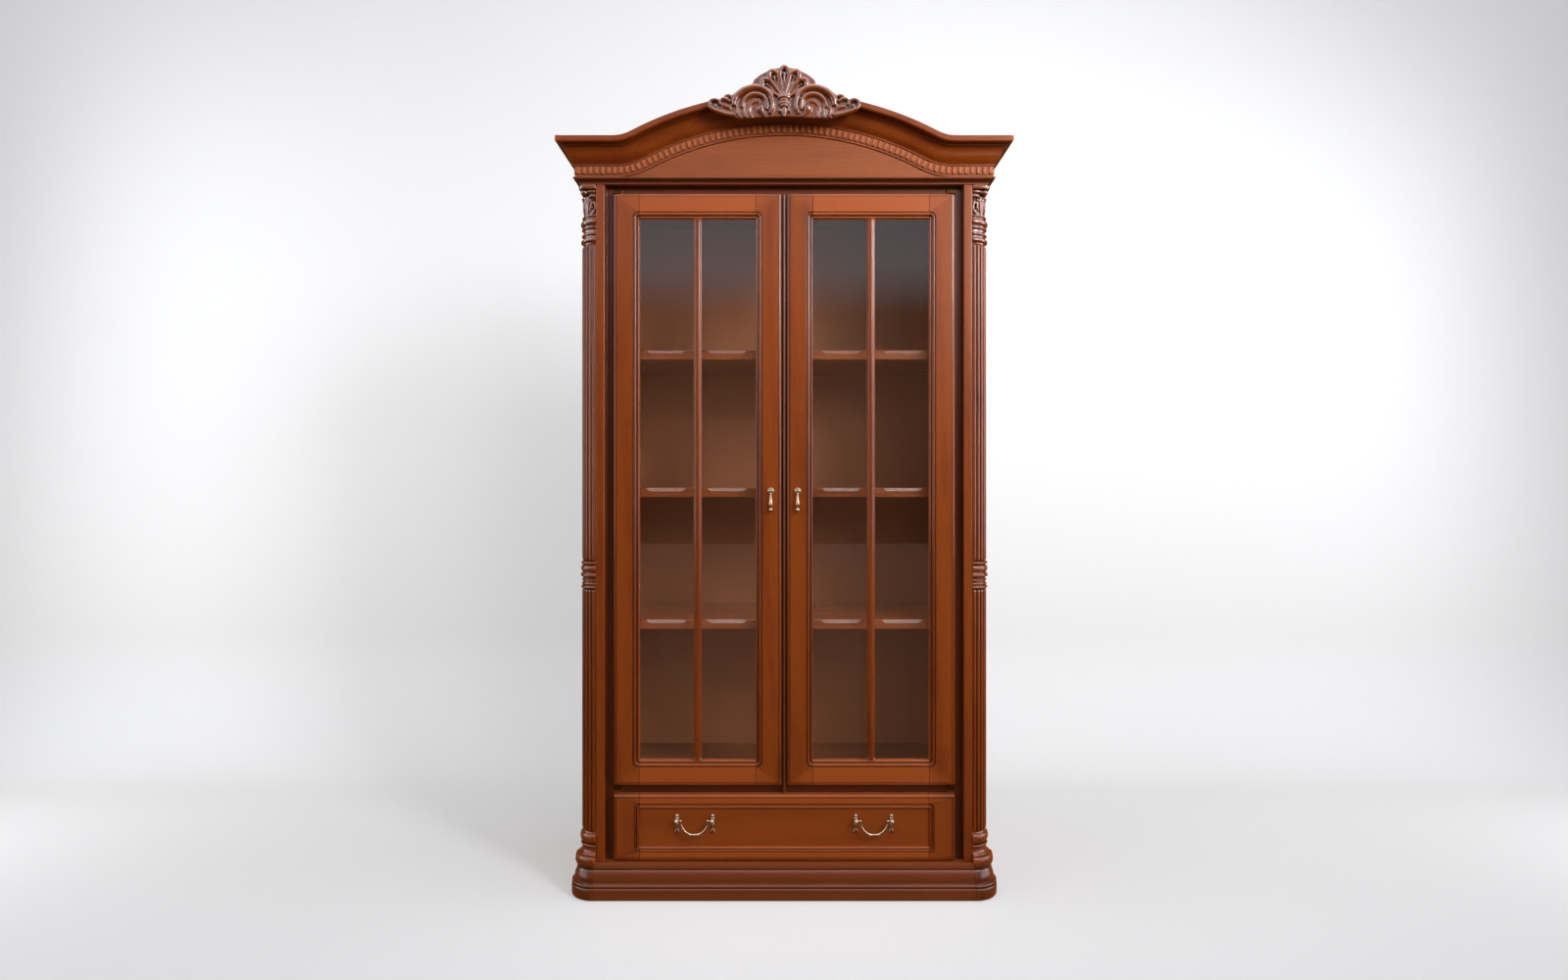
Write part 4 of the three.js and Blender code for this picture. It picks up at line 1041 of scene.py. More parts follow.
class CABINET_OT_capitals(bpy.types.Operator):
    """Model the carved capitals: neck rings, leaves round the bell, scrolls under the abacus"""

    bl_idname = "cabinet.capitals"
    bl_label = "Capitals"

    def execute(self, context):
        foot = CAPITAL_Z
        bell = [(-4, foot), (-3.5, foot + 5)]
        bell += half_round((-0.6, foot + 6), (-0.6, foot + 16), 3.6, 8)
        bell += [(-2.6, foot + 18), (-3.4, foot + 23)]
        bell += half_round((-1, foot + 25), (-1, foot + 30), 2.2, 6)
        bell += [(-3.6, foot + 33), (-3.6, foot + 40)]
        bell += half_round((-1, foot + 42), (-1, foot + 47), 2.2, 6)
        bell += [(-3, foot + 50)]
        bell += half_round((-0.4, foot + 53), (-0.4, foot + 66), 3.8, 8)
        bell += [(-3, foot + 69), (-4, foot + 72)]
        bell += half_round((-2, foot + 74), (-2, foot + 78), 2, 5)
        bell += [(-8, foot + 80), (-10, foot + 95), (-9, foot + 112), (-6, foot + 128), (-5, foot + 148)]

        def on_bell(turn, rise, out, radius):
            angle = math.radians(turn)
            r = COLUMN_R + out
            return (COLUMN_X + r * math.sin(angle), COLUMN_Y - r * math.cos(angle), foot + rise, radius)

        leaf_ribs = [
            [(40, 80, -8, 2.6), (34, 94, -7, 3.2), (30, 107, -5, 3.6), (28, 117, -3.5, 3.6),
             (31, 122, -2, 2.8), (34, 118, -1.5, 2)],
            [(43, 80, -8, 2.6), (39.5, 97, -6, 3.2), (37.5, 112, -4, 3.4), (38, 122, -1.5, 3)],
            [(24, 81, -8, 2.6), (14, 84, -7.5, 3.2), (5, 93, -6.5, 3.6), (4, 105, -5.5, 3.6),
             (11, 112, -5, 3.4), (18, 107, -4.5, 3), (17.5, 99, -4.5, 2.6), (13, 97, -4.5, 2.2)],
            [(28, 126, -3, 3.6), (16, 129, -2.5, 3.8), (3, 127, -3.5, 3.2)],
            [(40, 141, -3, 6), (24, 142, -4, 5.2), (3, 141, -5, 4.8)],
            [(26, 90, -8, 2), (23, 102, -7, 2.6), (22, 116, -6, 3), (18, 123, -5, 2.4)],
        ]
        pieces = [quarter_turned("capital_bell", bell, 20)]
        middle = [(45, 80, -7, 3), (45, 95, -6, 3.8), (45, 110, -4, 4.2), (45, 120, -1.5, 4),
                  (45, 126, 1, 3.2), (45, 122, 3.4, 2.4)]
        pieces.append(rib([on_bell(*knot) for knot in middle]))
        for path in leaf_ribs:
            pieces.append(rib([on_bell(*knot) for knot in path]))
            pieces.append(rib([on_bell(90 - knot[0], *knot[1:]) for knot in path]))
        diagonal = (COLUMN_R + 1.5) * math.sqrt(0.5)
        pieces.append(ball(COLUMN_X + diagonal, COLUMN_Y - diagonal, foot + 140, 9.6))
        bell_piece = carved("capital_carving", pieces, context.scene.cabinet_sizes.carving * 0.8, 2)
        cut(bell_piece, (COLUMN_X, 0, 0), (-1, 0, 0))
        cut(bell_piece, (0, COLUMN_Y, 0), (0, 1, 0))

        reach, front, nip = CASE_HALF + 2, FACE_Y - 2, 10
        plan = [(COLUMN_X, COLUMN_Y), (COLUMN_X, front), (reach - nip, front), (reach, front + nip),
                (reach, COLUMN_Y)]
        slab = drawn("abacus", [[(x, y, z) for x, y in plan] for z in (POST_TOP - 12, POST_TOP - GAP)])
        rounded(slab, 2.5)
        right = joined("carved_capital_right", [slab, bell_piece])
        finished_pair(right, "case", carved_cherry(), "capital_right", angle=50)
        return {"FINISHED"}


# ---------------------------------------------------------------- cornice
def cornice_profile(foot):
    """[proud, below the top line]: fascia, soffit with its bead, a wide ovolo and a fillet."""
    points = [(50, 0), (51, 1), (51, 12)]
    points += quarter_round((51, 12.5), (47, 16.5), "v", 5)
    points += [(38, 17), (38, 18)]
    points += half_round((37.5, 18.5), (37.5, 22.5), -1.6, 5)
    points += [(31.5, 23.4), (31, 25), (27.8, 28), (25.6, 33), (24.6, 38), (23.6, 43), (21.9, 48)]
    return points + [(19.4, 52.6), (16, 57), (12.8, 60), (12.4, 61.6), (11.5, 62.2), (11.5, foot)]


class CABINET_OT_cornice(bpy.types.Operator):
    """Model the arched cornice moulding and its returns along the sides"""

    bl_idname = "cabinet.cornice"
    bl_label = "Cornice"

    def execute(self, context):
        back = -CORNICE_BODY
        profile = cornice_profile(FRIEZE_HEAD) + [(back, FRIEZE_HEAD), (back, 0)]
        front = drawn("arched_cornice", arch_sections(CORNICE_HALF, profile))
        mitre = CORNICE_HALF - 0.2
        for side in (1, -1):
            cut(front, (side * mitre, FASCIA_Y, 0), Vector((side, 1, 0)).normalized())
        finished(front, "case", cherry("X"), "cornice_front")

        frieze = [(FRIEZE_OUT, FRIEZE_HEAD), (FRIEZE_OUT, FRIEZE_END)]
        side_profile = cornice_profile(FRIEZE_HEAD) + frieze + [(back, FRIEZE_END), (back, 0)]

        def along(y):
            return [(CASE_HALF + proud, y, CORNICE_TOP - below) for proud, below in side_profile]

        right = drawn("side_cornice", [along(FASCIA_Y), along(BACK_Y)])
        cut(right, (CORNICE_HALF + 0.2, FASCIA_Y, 0), Vector((-1, -1, 0)).normalized())
        teeth = []
        sizes = context.scene.cabinet_sizes
        pitch = sizes.dentil_pitch / MM
        begin = FACE_Y - FRIEZE_OUT
        for i in range(int((BACK_Y - begin) / pitch)):
            y = begin + pitch * (i + 0.6)
            teeth.append((CASE_HALF + FRIEZE_OUT, y, CORNICE_TOP - DENTIL_LINE, math.pi / 2, 0))
        right = joined("side_cornice_right", [*dentils(teeth, sizes), right])
        finished_pair(right, "case", cherry("Y"), "cornice_return_right")
        return {"FINISHED"}


def dentils(places, sizes):
    """One dentil, eased, then copied to each place of [x, y, z, turn about Z, lean about Y]."""
    width, height, proud = sizes.dentil_width / MM, 19, 3.6
    bpy.ops.object.select_all(action="DESELECT")
    bpy.ops.mesh.primitive_cube_add(size=1, scale=Vector((width, 2 * proud, height)) * MM)
    bpy.ops.object.transform_apply(location=True, rotation=True, scale=True)
    tooth = bpy.context.object
    rounded(tooth, 1.4, 1)
    made = []
    for x, y, z, turn, lean in places:
        copy = tooth.copy()
        copy.data = tooth.data.copy()
        bpy.context.scene.collection.objects.link(copy)
        copy.matrix_world = (
            Matrix.Translation(Vector((x, y, z)) * MM)
            @ Matrix.Rotation(turn, 4, "Z") @ Matrix.Rotation(lean, 4, "Y")
        )
        select_only(copy)
        bpy.ops.object.transform_apply(location=True, rotation=True, scale=True)
        made.append(copy)
    bpy.data.objects.remove(tooth)
    return made


class CABINET_OT_frieze(bpy.types.Operator):
    """Model the arched dentil frieze and the flat panel under it"""

    bl_idname = "cabinet.frieze"
    bl_label = "Frieze and arch panel"

    def execute(self, context):
        sizes = context.scene.cabinet_sizes
        out, head, foot = FRIEZE_OUT, FRIEZE_HEAD + GAP, FRIEZE_END
        profile = [(out, head), (out, foot - 6.4)]
        profile += half_round((out, foot - 6), (out, foot - 1.6), -1.2, 5)
        profile += [(out - 0.6, foot), (-CORNICE_BODY, foot), (-CORNICE_BODY, head)]
        half = CASE_HALF + out
        band = drawn("frieze_band", arch_sections(CORNICE_HALF, profile))
        cut(band, (half, 0, 0), (1, 0, 0))
        cut(band, (-half, 0, 0), (-1, 0, 0))

        reach, steps = half - sizes.dentil_width / MM, 600
        line = [arch_point(reach * 1.08 * i / steps, DENTIL_LINE) for i in range(-steps, steps + 1)]
        line = [point for point in line if abs(point[0]) <= reach]
        walked = [0.0]
        for (x0, z0), (x1, z1) in zip(line, line[1:]):
            walked.append(walked[-1] + math.hypot(x1 - x0, z1 - z0))
        count = round(walked[-1] / (sizes.dentil_pitch / MM))
        places, step = [], 0
        for i in range(count + 1):
            target = walked[-1] * i / count
            while step < len(line) - 2 and walked[step + 1] < target:
                step += 1
            (x0, z0), (x1, z1) = line[step], line[step + 1]
            share = (target - walked[step]) / (walked[step + 1] - walked[step])
            lean = -math.atan2(z1 - z0, x1 - x0)
            places.append((x0 + (x1 - x0) * share, FACE_Y - out, z0 + (z1 - z0) * share, 0, lean))
        piece = joined("arched_dentil_frieze", [*dentils(places, sizes), band])
        # painted light: the paler, rosier veneer lightens the frieze where the cornice shades it
        finished(piece, "case", panel_veneer(), "dentil_frieze")

        panel = merged_copy("tympanum", "arched_panel")
        rounded(panel, 1.2, 2)
        finished(panel, "case", panel_veneer(), "tympanum")
        return {"FINISHED"}


# ---------------------------------------------------------------- crest
class CABINET_OT_crest(bpy.types.Operator):
    """Model the carved crest: a five-lobed scallop shell between two leafy scrolls"""

    bl_idname = "cabinet.crest"
    bl_label = "Carved crest"

    def execute(self, context):
        def relief(knots, side=1):
            """Knots are [across, rise over the arch, radius, set back from the carving's front]."""
            return rib([(side * x, CREST_Y + radius + back, ARCH_TOP + rise, radius)
                        for x, rise, radius, back in knots])

        def plate(name, points, front, back):
            return drawn(name, [[(x, y, ARCH_TOP + rise) for x, rise in points] for y in (front, back)])

        ground = [
            (-194, -36), (-186, -48), (-160, -62), (-120, -72), (-70, -70), (0, -66), (70, -70),
            (120, -72), (160, -62), (186, -48), (194, -36), (186, -27), (160, -20), (140, -12),
            (126, -2), (104, 10), (84, 16), (80, 30), (62, 44), (34, 58), (0, 64), (-34, 58),
            (-62, 44), (-80, 30), (-84, 16), (-104, 10), (-126, -2), (-140, -12), (-160, -20),
            (-186, -27),
        ]
        pieces = [plate("crest_ground", ground, CREST_Y + 10, FASCIA_Y - 0.6)]
        half_back = 150  # the part that stands on top of the cornice
        over = [(x, rise) for x, rise in ground if abs(x) <= half_back and rise > self.arch_rise(x) + 1]
        feet = [(x, self.arch_rise(x) + 1) for x in range(-half_back, half_back + 1, 30)]
        pieces.append(plate("crest_back", feet + over, FASCIA_Y - 1, high("crest").y - 1))

        # Shell: each lobe is a raised rim round a hollow flute, with a drop lying in it.
        root_z, wide = -22, 11.5
        for lean, reach in ((-50, 74), (-25.5, 79), (0, 82), (25.5, 79), (50, 74)):
            angle = math.radians(lean)
            across, up = math.cos(angle), math.sin(angle)

            def lobe(u, v, radius, back):
                x = u * across + v * up
                rise = root_z + v * across - u * up
                return (x, rise, radius, back)

            rim = [(-3, 8, 3.2, 3), (-6, 30, 3.8, 3.5), (-9.5, 50, 4.6, 2), (-wide, 64, 5.4, 1),
                   (-wide * 0.78, reach - 7, 6.2, 0), (0, reach, 7.0, 0)]
            rim += [(-u, v, radius, back) for u, v, radius, back in reversed(rim[:-1])]
            pieces.append(relief([lobe(*knot) for knot in rim]))
            drop = [(0, 22, 1.4, 8), (0, 42, 2.4, 6.5), (0, 58, 3.6, 5), (0, reach - 13, 5.0, 3)]
            pieces.append(relief([lobe(*knot) for knot in drop]))

        # Collar under the shell and the buds that hang from it.
        for rise, wide, radius in ((-18, 15, 4.4), (-26.5, 12, 3.6), (-34, 14, 4.2), (-41, 11, 3.4)):
            pieces.append(relief([(-wide, rise - 1.5, radius * 0.7, 5), (-wide * 0.6, rise, radius, 1.5),
                                  (0, rise + 1, radius, 0), (wide * 0.6, rise, radius, 1.5),
                                  (wide, rise - 1.5, radius * 0.7, 5)]))
        buds = [(0, -49, 7), (0, -57, 8.2), (-11.5, -53, 5.6), (11.5, -53, 5.6), (0, -66, 4.6)]
        for x, rise, radius in buds:
            pieces.append(ball(x, CREST_Y + radius + 1.5, ARCH_TOP + rise, radius, 0.9))

        scrolls = [
            # the great scroll: three broad strands laid one inside the other
            [(-132, -40, 6, 2), (-130, -24, 9, 0), (-116, -6, 9.4, 0), (-96, 5, 9, 0),
             (-71, 8, 8.4, 0), (-47, -1, 7.6, 0.5), (-33, -20, 7, 1), (-31, -43, 6.2, 1.5),
             (-38, -60, 5, 3)],
            [(-112, -44, 6, 5), (-105, -25, 7.6, 3.5), (-91, -12, 8, 3), (-71, -9, 7.6, 2.5),
             (-53, -17, 7, 2.5), (-45, -34, 6.2, 3), (-45, -50, 4.6, 4)],
            [(-93, -54, 4.4, 8), (-89, -39, 5, 7), (-79, -29, 5, 6.5), (-67, -27, 4.4, 6.5)],
            # leaf tips below it
            [(-124, -46, 4.6, 5), (-121, -58, 5, 4), (-117, -69, 4, 5)],
            [(-106, -48, 5, 6), (-104, -60, 5.4, 4.5), (-101, -70, 4, 5.5)],
            [(-88, -56, 4.6, 6.5), (-87, -64, 5, 5), (-84, -71, 3.6, 6)],
            # eye of the scroll with its stem
            [(-48, -69, 4, 4), (-55, -60, 6.4, 2.5), (-61, -49, 10.6, 0), (-62, -44, 12, -0.2)],
            # small outer volute, its stem and the leaf over it
            [(-128, -64, 4, 5), (-146, -62, 5, 3.5), (-164, -58, 5.4, 2), (-182, -52, 5.2, 1),
             (-194, -44, 4.8, 0.8), (-195, -32, 4.6, 0.8), (-184, -25, 4.4, 0.8), (-172, -29, 4.2, 1),
             (-167, -38, 3.8, 1.5)],
            [(-142, -30, 4, 4), (-150, -24, 5, 3), (-161, -22, 4.4, 3), (-168, -27, 3, 4)],
            [(-138, -16, 4, 4), (-147, -13, 4.4, 4), (-157, -16, 3.4, 5)],
            [(-141, -46, 3.6, 6), (-152, -42, 4.2, 5), (-160, -38, 3, 6)],
        ]
        for side in (1, -1):
            for knots in scrolls:
                pieces.append(relief(knots, side))
            pieces.append(ball(side * 181, CREST_Y + 6.6, ARCH_TOP - 41, 6.4, 0.85))

        piece = carved("carved_shell_crest", pieces, context.scene.cabinet_sizes.carving)
        finished(piece, "case", carved_cherry(), "crest", angle=60)
        return {"FINISHED"}

    @staticmethod
    def arch_rise(x):
        """Height of the cornice's arch at x, from its highest point."""
        return math.sqrt(ARCH_R**2 - x * x) - ARCH_R


# ---------------------------------------------------------------- doors
def door_rectangles():
    return (DOOR_IN, DOOR_OUT, DOOR_Z, DOOR_TOP), (SIGHT_IN, SIGHT_OUT, SIGHT_Z, SIGHT_TOP)


def outer_edge(rectangle, edge, back_y):
    """Loops round the outside of a door or drawer front, from its face to its back."""
    loops = [(rectangle, -edge - 1.9, 2, FACE_Y), (rectangle, -edge - 1.7, 2, FACE_Y + 1.6),
             (rectangle, -edge - 0.2, 2, FACE_Y + 1.8)]
    for grow, sink in quarter_round((-edge, 1.0), (0, edge + 0.4), "u", 6):
        loops.append((rectangle, grow, 2.0, FACE_Y + sink))
    loops += [(rectangle, 0, 2.0, back_y - 1), (rectangle, -1, 1.4, back_y)]
    return loops


def parted(whole, names, x0, x1, middle_z):
    """Cuts a frame at the joints round its opening from x0 to x1, and gives each member its grain.

    The names are for the upright at x1, the upright at x0, the lower rail and the upper rail.
    """
    seam = 0.6
    rail = [((x1 - seam, 0, 0), (1, 0, 0)), ((x0 + seam, 0, 0), (-1, 0, 0))]
    ways = [
        ("Z", [((x1 + seam, 0, 0), (-1, 0, 0))]),
        ("Z", [((x0 - seam, 0, 0), (1, 0, 0))]),
        ("X", [*rail, ((0, 0, middle_z), (0, 0, 1))]),
        ("X", [*rail, ((0, 0, middle_z), (0, 0, -1))]),
    ]
    members = []
    for name, (axis, cuts) in zip(names, ways):
        piece = copied(whole, name)
        for point, direction in cuts:
            cut(piece, point, direction)
        members.append((piece, cherry(axis)))
    bpy.data.objects.remove(whole)
    return members


class CABINET_OT_doors(bpy.types.Operator):
    """Model both door frames, each of two stiles and two rails, with the moulding round the glass"""

    bl_idname = "cabinet.doors"
    bl_label = "Door frames"

    def execute(self, context):
        sizes = context.scene.cabinet_sizes
        edge, wide = sizes.door_edge / MM, sizes.sight_moulding / MM
        outer, sight = door_rectangles()
        steps = [(wide, 0), (wide - 0.3, 2.2), (wide - 1.9, 2.6), (wide - 2.2, 1.8)]
        steps += half_round((wide - 2.3, 1.7), (wide - 9.8, 3.2), -2.2, 8)
        steps += [(wide - 10.0, 5.6), (wide - 11.9, 6.0), (wide - 12.2, 4.9)]
        steps += half_round((wide - 12.3, 4.8), (0.9, 6.0), -1.9, 7)
        steps += [(0.5, 7.6), (0, 9)]
        sight_loops = [(sight, grow, 0.5 + 0.78 * max(grow, 0), FACE_Y + sink) for grow, sink in steps]
        loops = sight_loops[::-1] + outer_edge(outer, edge, DOOR_BACK_Y)
        loops += [(sight, 1, 1.3, DOOR_BACK_Y), (sight, 0, 0.5, DOOR_BACK_Y - 1)]
        whole = drawn("door_frame", frame_ring(loops), ring=True)

        names = [f"moulded_{member}_right" for member in DOOR_MEMBERS]
        members = parted(whole, names, SIGHT_IN, SIGHT_OUT, (DOOR_Z + DOOR_TOP) / 2)
        for member, (piece, finish) in zip(DOOR_MEMBERS, members):
            finished_pair(piece, "door_right", finish, f"door_right_{member}")
        return {"FINISHED"}


class CABINET_OT_glazing(bpy.types.Operator):
    """Model the panes and the upright glazing bars"""

    bl_idname = "cabinet.glazing"
    bl_label = "Glazing"

    def execute(self, context):
        for side in SIDES:
            pane = merged_copy(f"door_{side}_glass", f"polished_pane_{side}")
            rounded(pane, 0.6, 2)
            finished(pane, f"door_{side}", float_glass(), f"door_{side}_glass")
        back = high("door_right_glazing_bar").y

        def section(z, swell):
            wide = BAR_HALF * swell
            points = [(-wide, back), (-wide, FACE_Y + 6.4), (-wide + 0.8, FACE_Y + 5.4)]
            points += [(-wide + 2.6, FACE_Y + 5)]
            points += half_round((-wide + 3.2, FACE_Y + 4.8), (wide - 3.2, FACE_Y + 4.8), 3.6, 12)
            points += [(wide - 2.6, FACE_Y + 5), (wide - 0.8, FACE_Y + 5.4), (wide, FACE_Y + 6.4),
                       (wide, back)]
            return [(BAR_X + x, y, z) for x, y in points]

        flare = [(0, 1.45), (2, 1.3), (5, 1.12), (9, 1.02), (14, 1.0)]
        levels = [(SIGHT_Z + GAP + rise, swell) for rise, swell in flare]
        levels += [(SIGHT_TOP - GAP - rise, swell) for rise, swell in reversed(flare)]
        right = drawn("astragal_bar_right", [section(z, swell) for z, swell in levels])
        finished_pair(right, "door_right", cherry("Z"), "door_right_glazing_bar", angle=50)
        return {"FINISHED"}


class CABINET_OT_drop_pulls(bpy.types.Operator):
    """Model the doors' drop pulls: rosette, eye and pendant"""

    bl_idname = "cabinet.drop_pulls"
    bl_label = "Drop pulls"

    def execute(self, context):
        rosette_low, rosette_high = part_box("door_right_pull_rosette")
        x = (rosette_low.x + rosette_high.x) / 2 / MM
        z = (rosette_low.z + rosette_high.z) / 2 / MM
        axis_y = low("door_right_pull_drop").y + 5.4
        face = FACE_Y - 0.3
        plate = [(0, 0), (9, 0), (9, 0.7), (8.6, 1.3), (7.8, 1.6), (7.2, 1.1)]
        plate += half_round((6.9, 1.2), (4.6, 2.2), 1.2, 5) + [(4.3, 2.0), (3.2, 3.2), (0, 3.6)]
        parts = [spun("rosette", [(x + r, face - out, z) for r, out in plate], (x, 0, z), (0, 1, 0), 32)]
        for side in (-1, 1):
            parts.append(rib([(x + side * 3.6, face - 1.5, z, 2.6), (x + side * 3.6, axis_y + 3, z, 2.0),
                              (x + side * 3.6, axis_y, z, 1.9), (x + side * 3.6, axis_y - 0.6, z, 0.6)]))
        parts.append(rib([(x - 4, axis_y, z, 1.3), (x + 4, axis_y, z, 1.3)]))
        for i in range(12):
            turn = math.tau * i / 12
            parts.append(ball(x + 8 * math.cos(turn), face - 1.1, z + 8 * math.sin(turn), 1.1, 0.7))
        rosette = carved("cast_rosette_right", parts, 0.00035, 1)
        finished_pair(rosette, "door_right", antique_nickel(),
                      "door_right_pull_rosette", 60)

        profile = [(0, -6.2), (2.0, -6.6), (2.9, -8.2), (2.2, -10), (2.4, -12)]
        profile += [(2.9, -17), (3.9, -24), (5.0, -31), (5.4, -35.5), (5.1, -39), (3.6, -41.6)]
        profile += half_round((2.6, -42.4), (2.6, -44.6), 1.0, 4)
        profile += [(2.2, -45.6)]
        profile += half_round((2.4, -46.4), (0.2, -56.4), -4.2, 9)
        profile += [(0, -57.4)]
        pendant = spun("pendant", [(x + r, axis_y, z + rise) for r, rise in profile],
                       (x, axis_y, 0), (0, 0, 1), 28)
        eye, eye_r = [], 3.1
        for i in range(17):
            turn = math.tau * i / 16
            eye.append((x, axis_y + eye_r * math.sin(turn), z + eye_r * math.cos(turn), 1.45))
        neck = rib([(x, axis_y, z - 3.6, 1.5), (x, axis_y, z - 7, 2.0)])
        drop = carved("cast_pendant_right", [pendant, neck, rib(eye)], 0.0004, 1)
        finished_pair(drop, "right_drop", antique_nickel(), "door_right_pull_drop", 60)
        return {"FINISHED"}


class CABINET_OT_pivots(bpy.types.Operator):
    """Ease the edges of the brass pivots"""

    bl_idname = "cabinet.pivots"
    bl_label = "Pivots"

    def execute(self, context):
        for place in ("lower", "upper"):
            for side in SIDES:
                source = f"pivot_{place}_{side}"
                piece = merged_copy(source, f"brass_pivot_{place}_{side}")
                rounded(piece, 0.5, 2)
                finished(piece, "case", pivot_brass(), source)
        return {"FINISHED"}


# ---------------------------------------------------------------- drawer
class CABINET_OT_drawer_front(bpy.types.Operator):
    """Model the drawer front: a moulded frame round a sunk panel"""

    bl_idname = "cabinet.drawer_front"
    bl_label = "Drawer front"

    def execute(self, context):
        edge = context.scene.cabinet_sizes.door_edge / MM
        outer = (-DRAWER_OUT, DRAWER_OUT, DRAWER_Z, DRAWER_TOP)
        field_x, margin = 390, 38
        panel = (-field_x, field_x, DRAWER_Z + margin, DRAWER_TOP - margin)
        back_y = high("drawer_front").y
        steps = [(15, 0), (14.7, 2.2), (13.1, 2.6), (12.8, 1.9)]
        steps += quarter_round((12.6, 1.8), (8.2, 3.9), "u", 4)
        steps += half_round((7.8, 4.1), (1.2, 4.4), -3.4, 9)
        steps += [(0.8, 5.0), (0, 6.4)]
        inner = [(panel, grow, 0.6 + 0.75 * grow, FACE_Y + sink) for grow, sink in steps]
        loops = inner[::-1] + outer_edge(outer, edge, back_y)
        loops += [(panel, 0, 0.6, back_y)]
        whole = drawn("drawer_frame", frame_ring(loops), ring=True)
        names = ["drawer_end_right", "drawer_end_left", "drawer_rail_bottom", "drawer_rail_top"]
        for piece, finish in parted(whole, names, -field_x, field_x, (DRAWER_Z + DRAWER_TOP) / 2):
            finished(piece, "drawer", finish, "drawer_front")
        x0, x1, z0, z1 = panel
        tuck = 0.4
        field = drawn("drawer_sunk_panel", [
            [(x0 - tuck, y, z0 - tuck), (x1 + tuck, y, z0 - tuck), (x1 + tuck, y, z1 + tuck),
             (x0 - tuck, y, z1 + tuck)] for y in (FACE_Y + PANEL_SINK, FACE_Y + 15)
        ])
        rounded(field, 0.3, 2)
        finished(field, "drawer", cherry("X"), "drawer_front")
        return {"FINISHED"}


class CABINET_OT_drawer_box(bpy.types.Operator):
    """Ease the boards of the drawer box"""

    bl_idname = "cabinet.drawer_box"
    bl_label = "Drawer box"

    def execute(self, context):
        boards = [("drawer_side_right", "Y"), ("drawer_side_left", "Y"), ("drawer_back", "X"),
                  ("drawer_bottom", "X")]
        for source, axis in boards:
            piece = merged_copy(source, f"beech_{source}")
            rounded(piece, 1.5)
            finished(piece, "drawer", beech(axis), source)
        return {"FINISHED"}


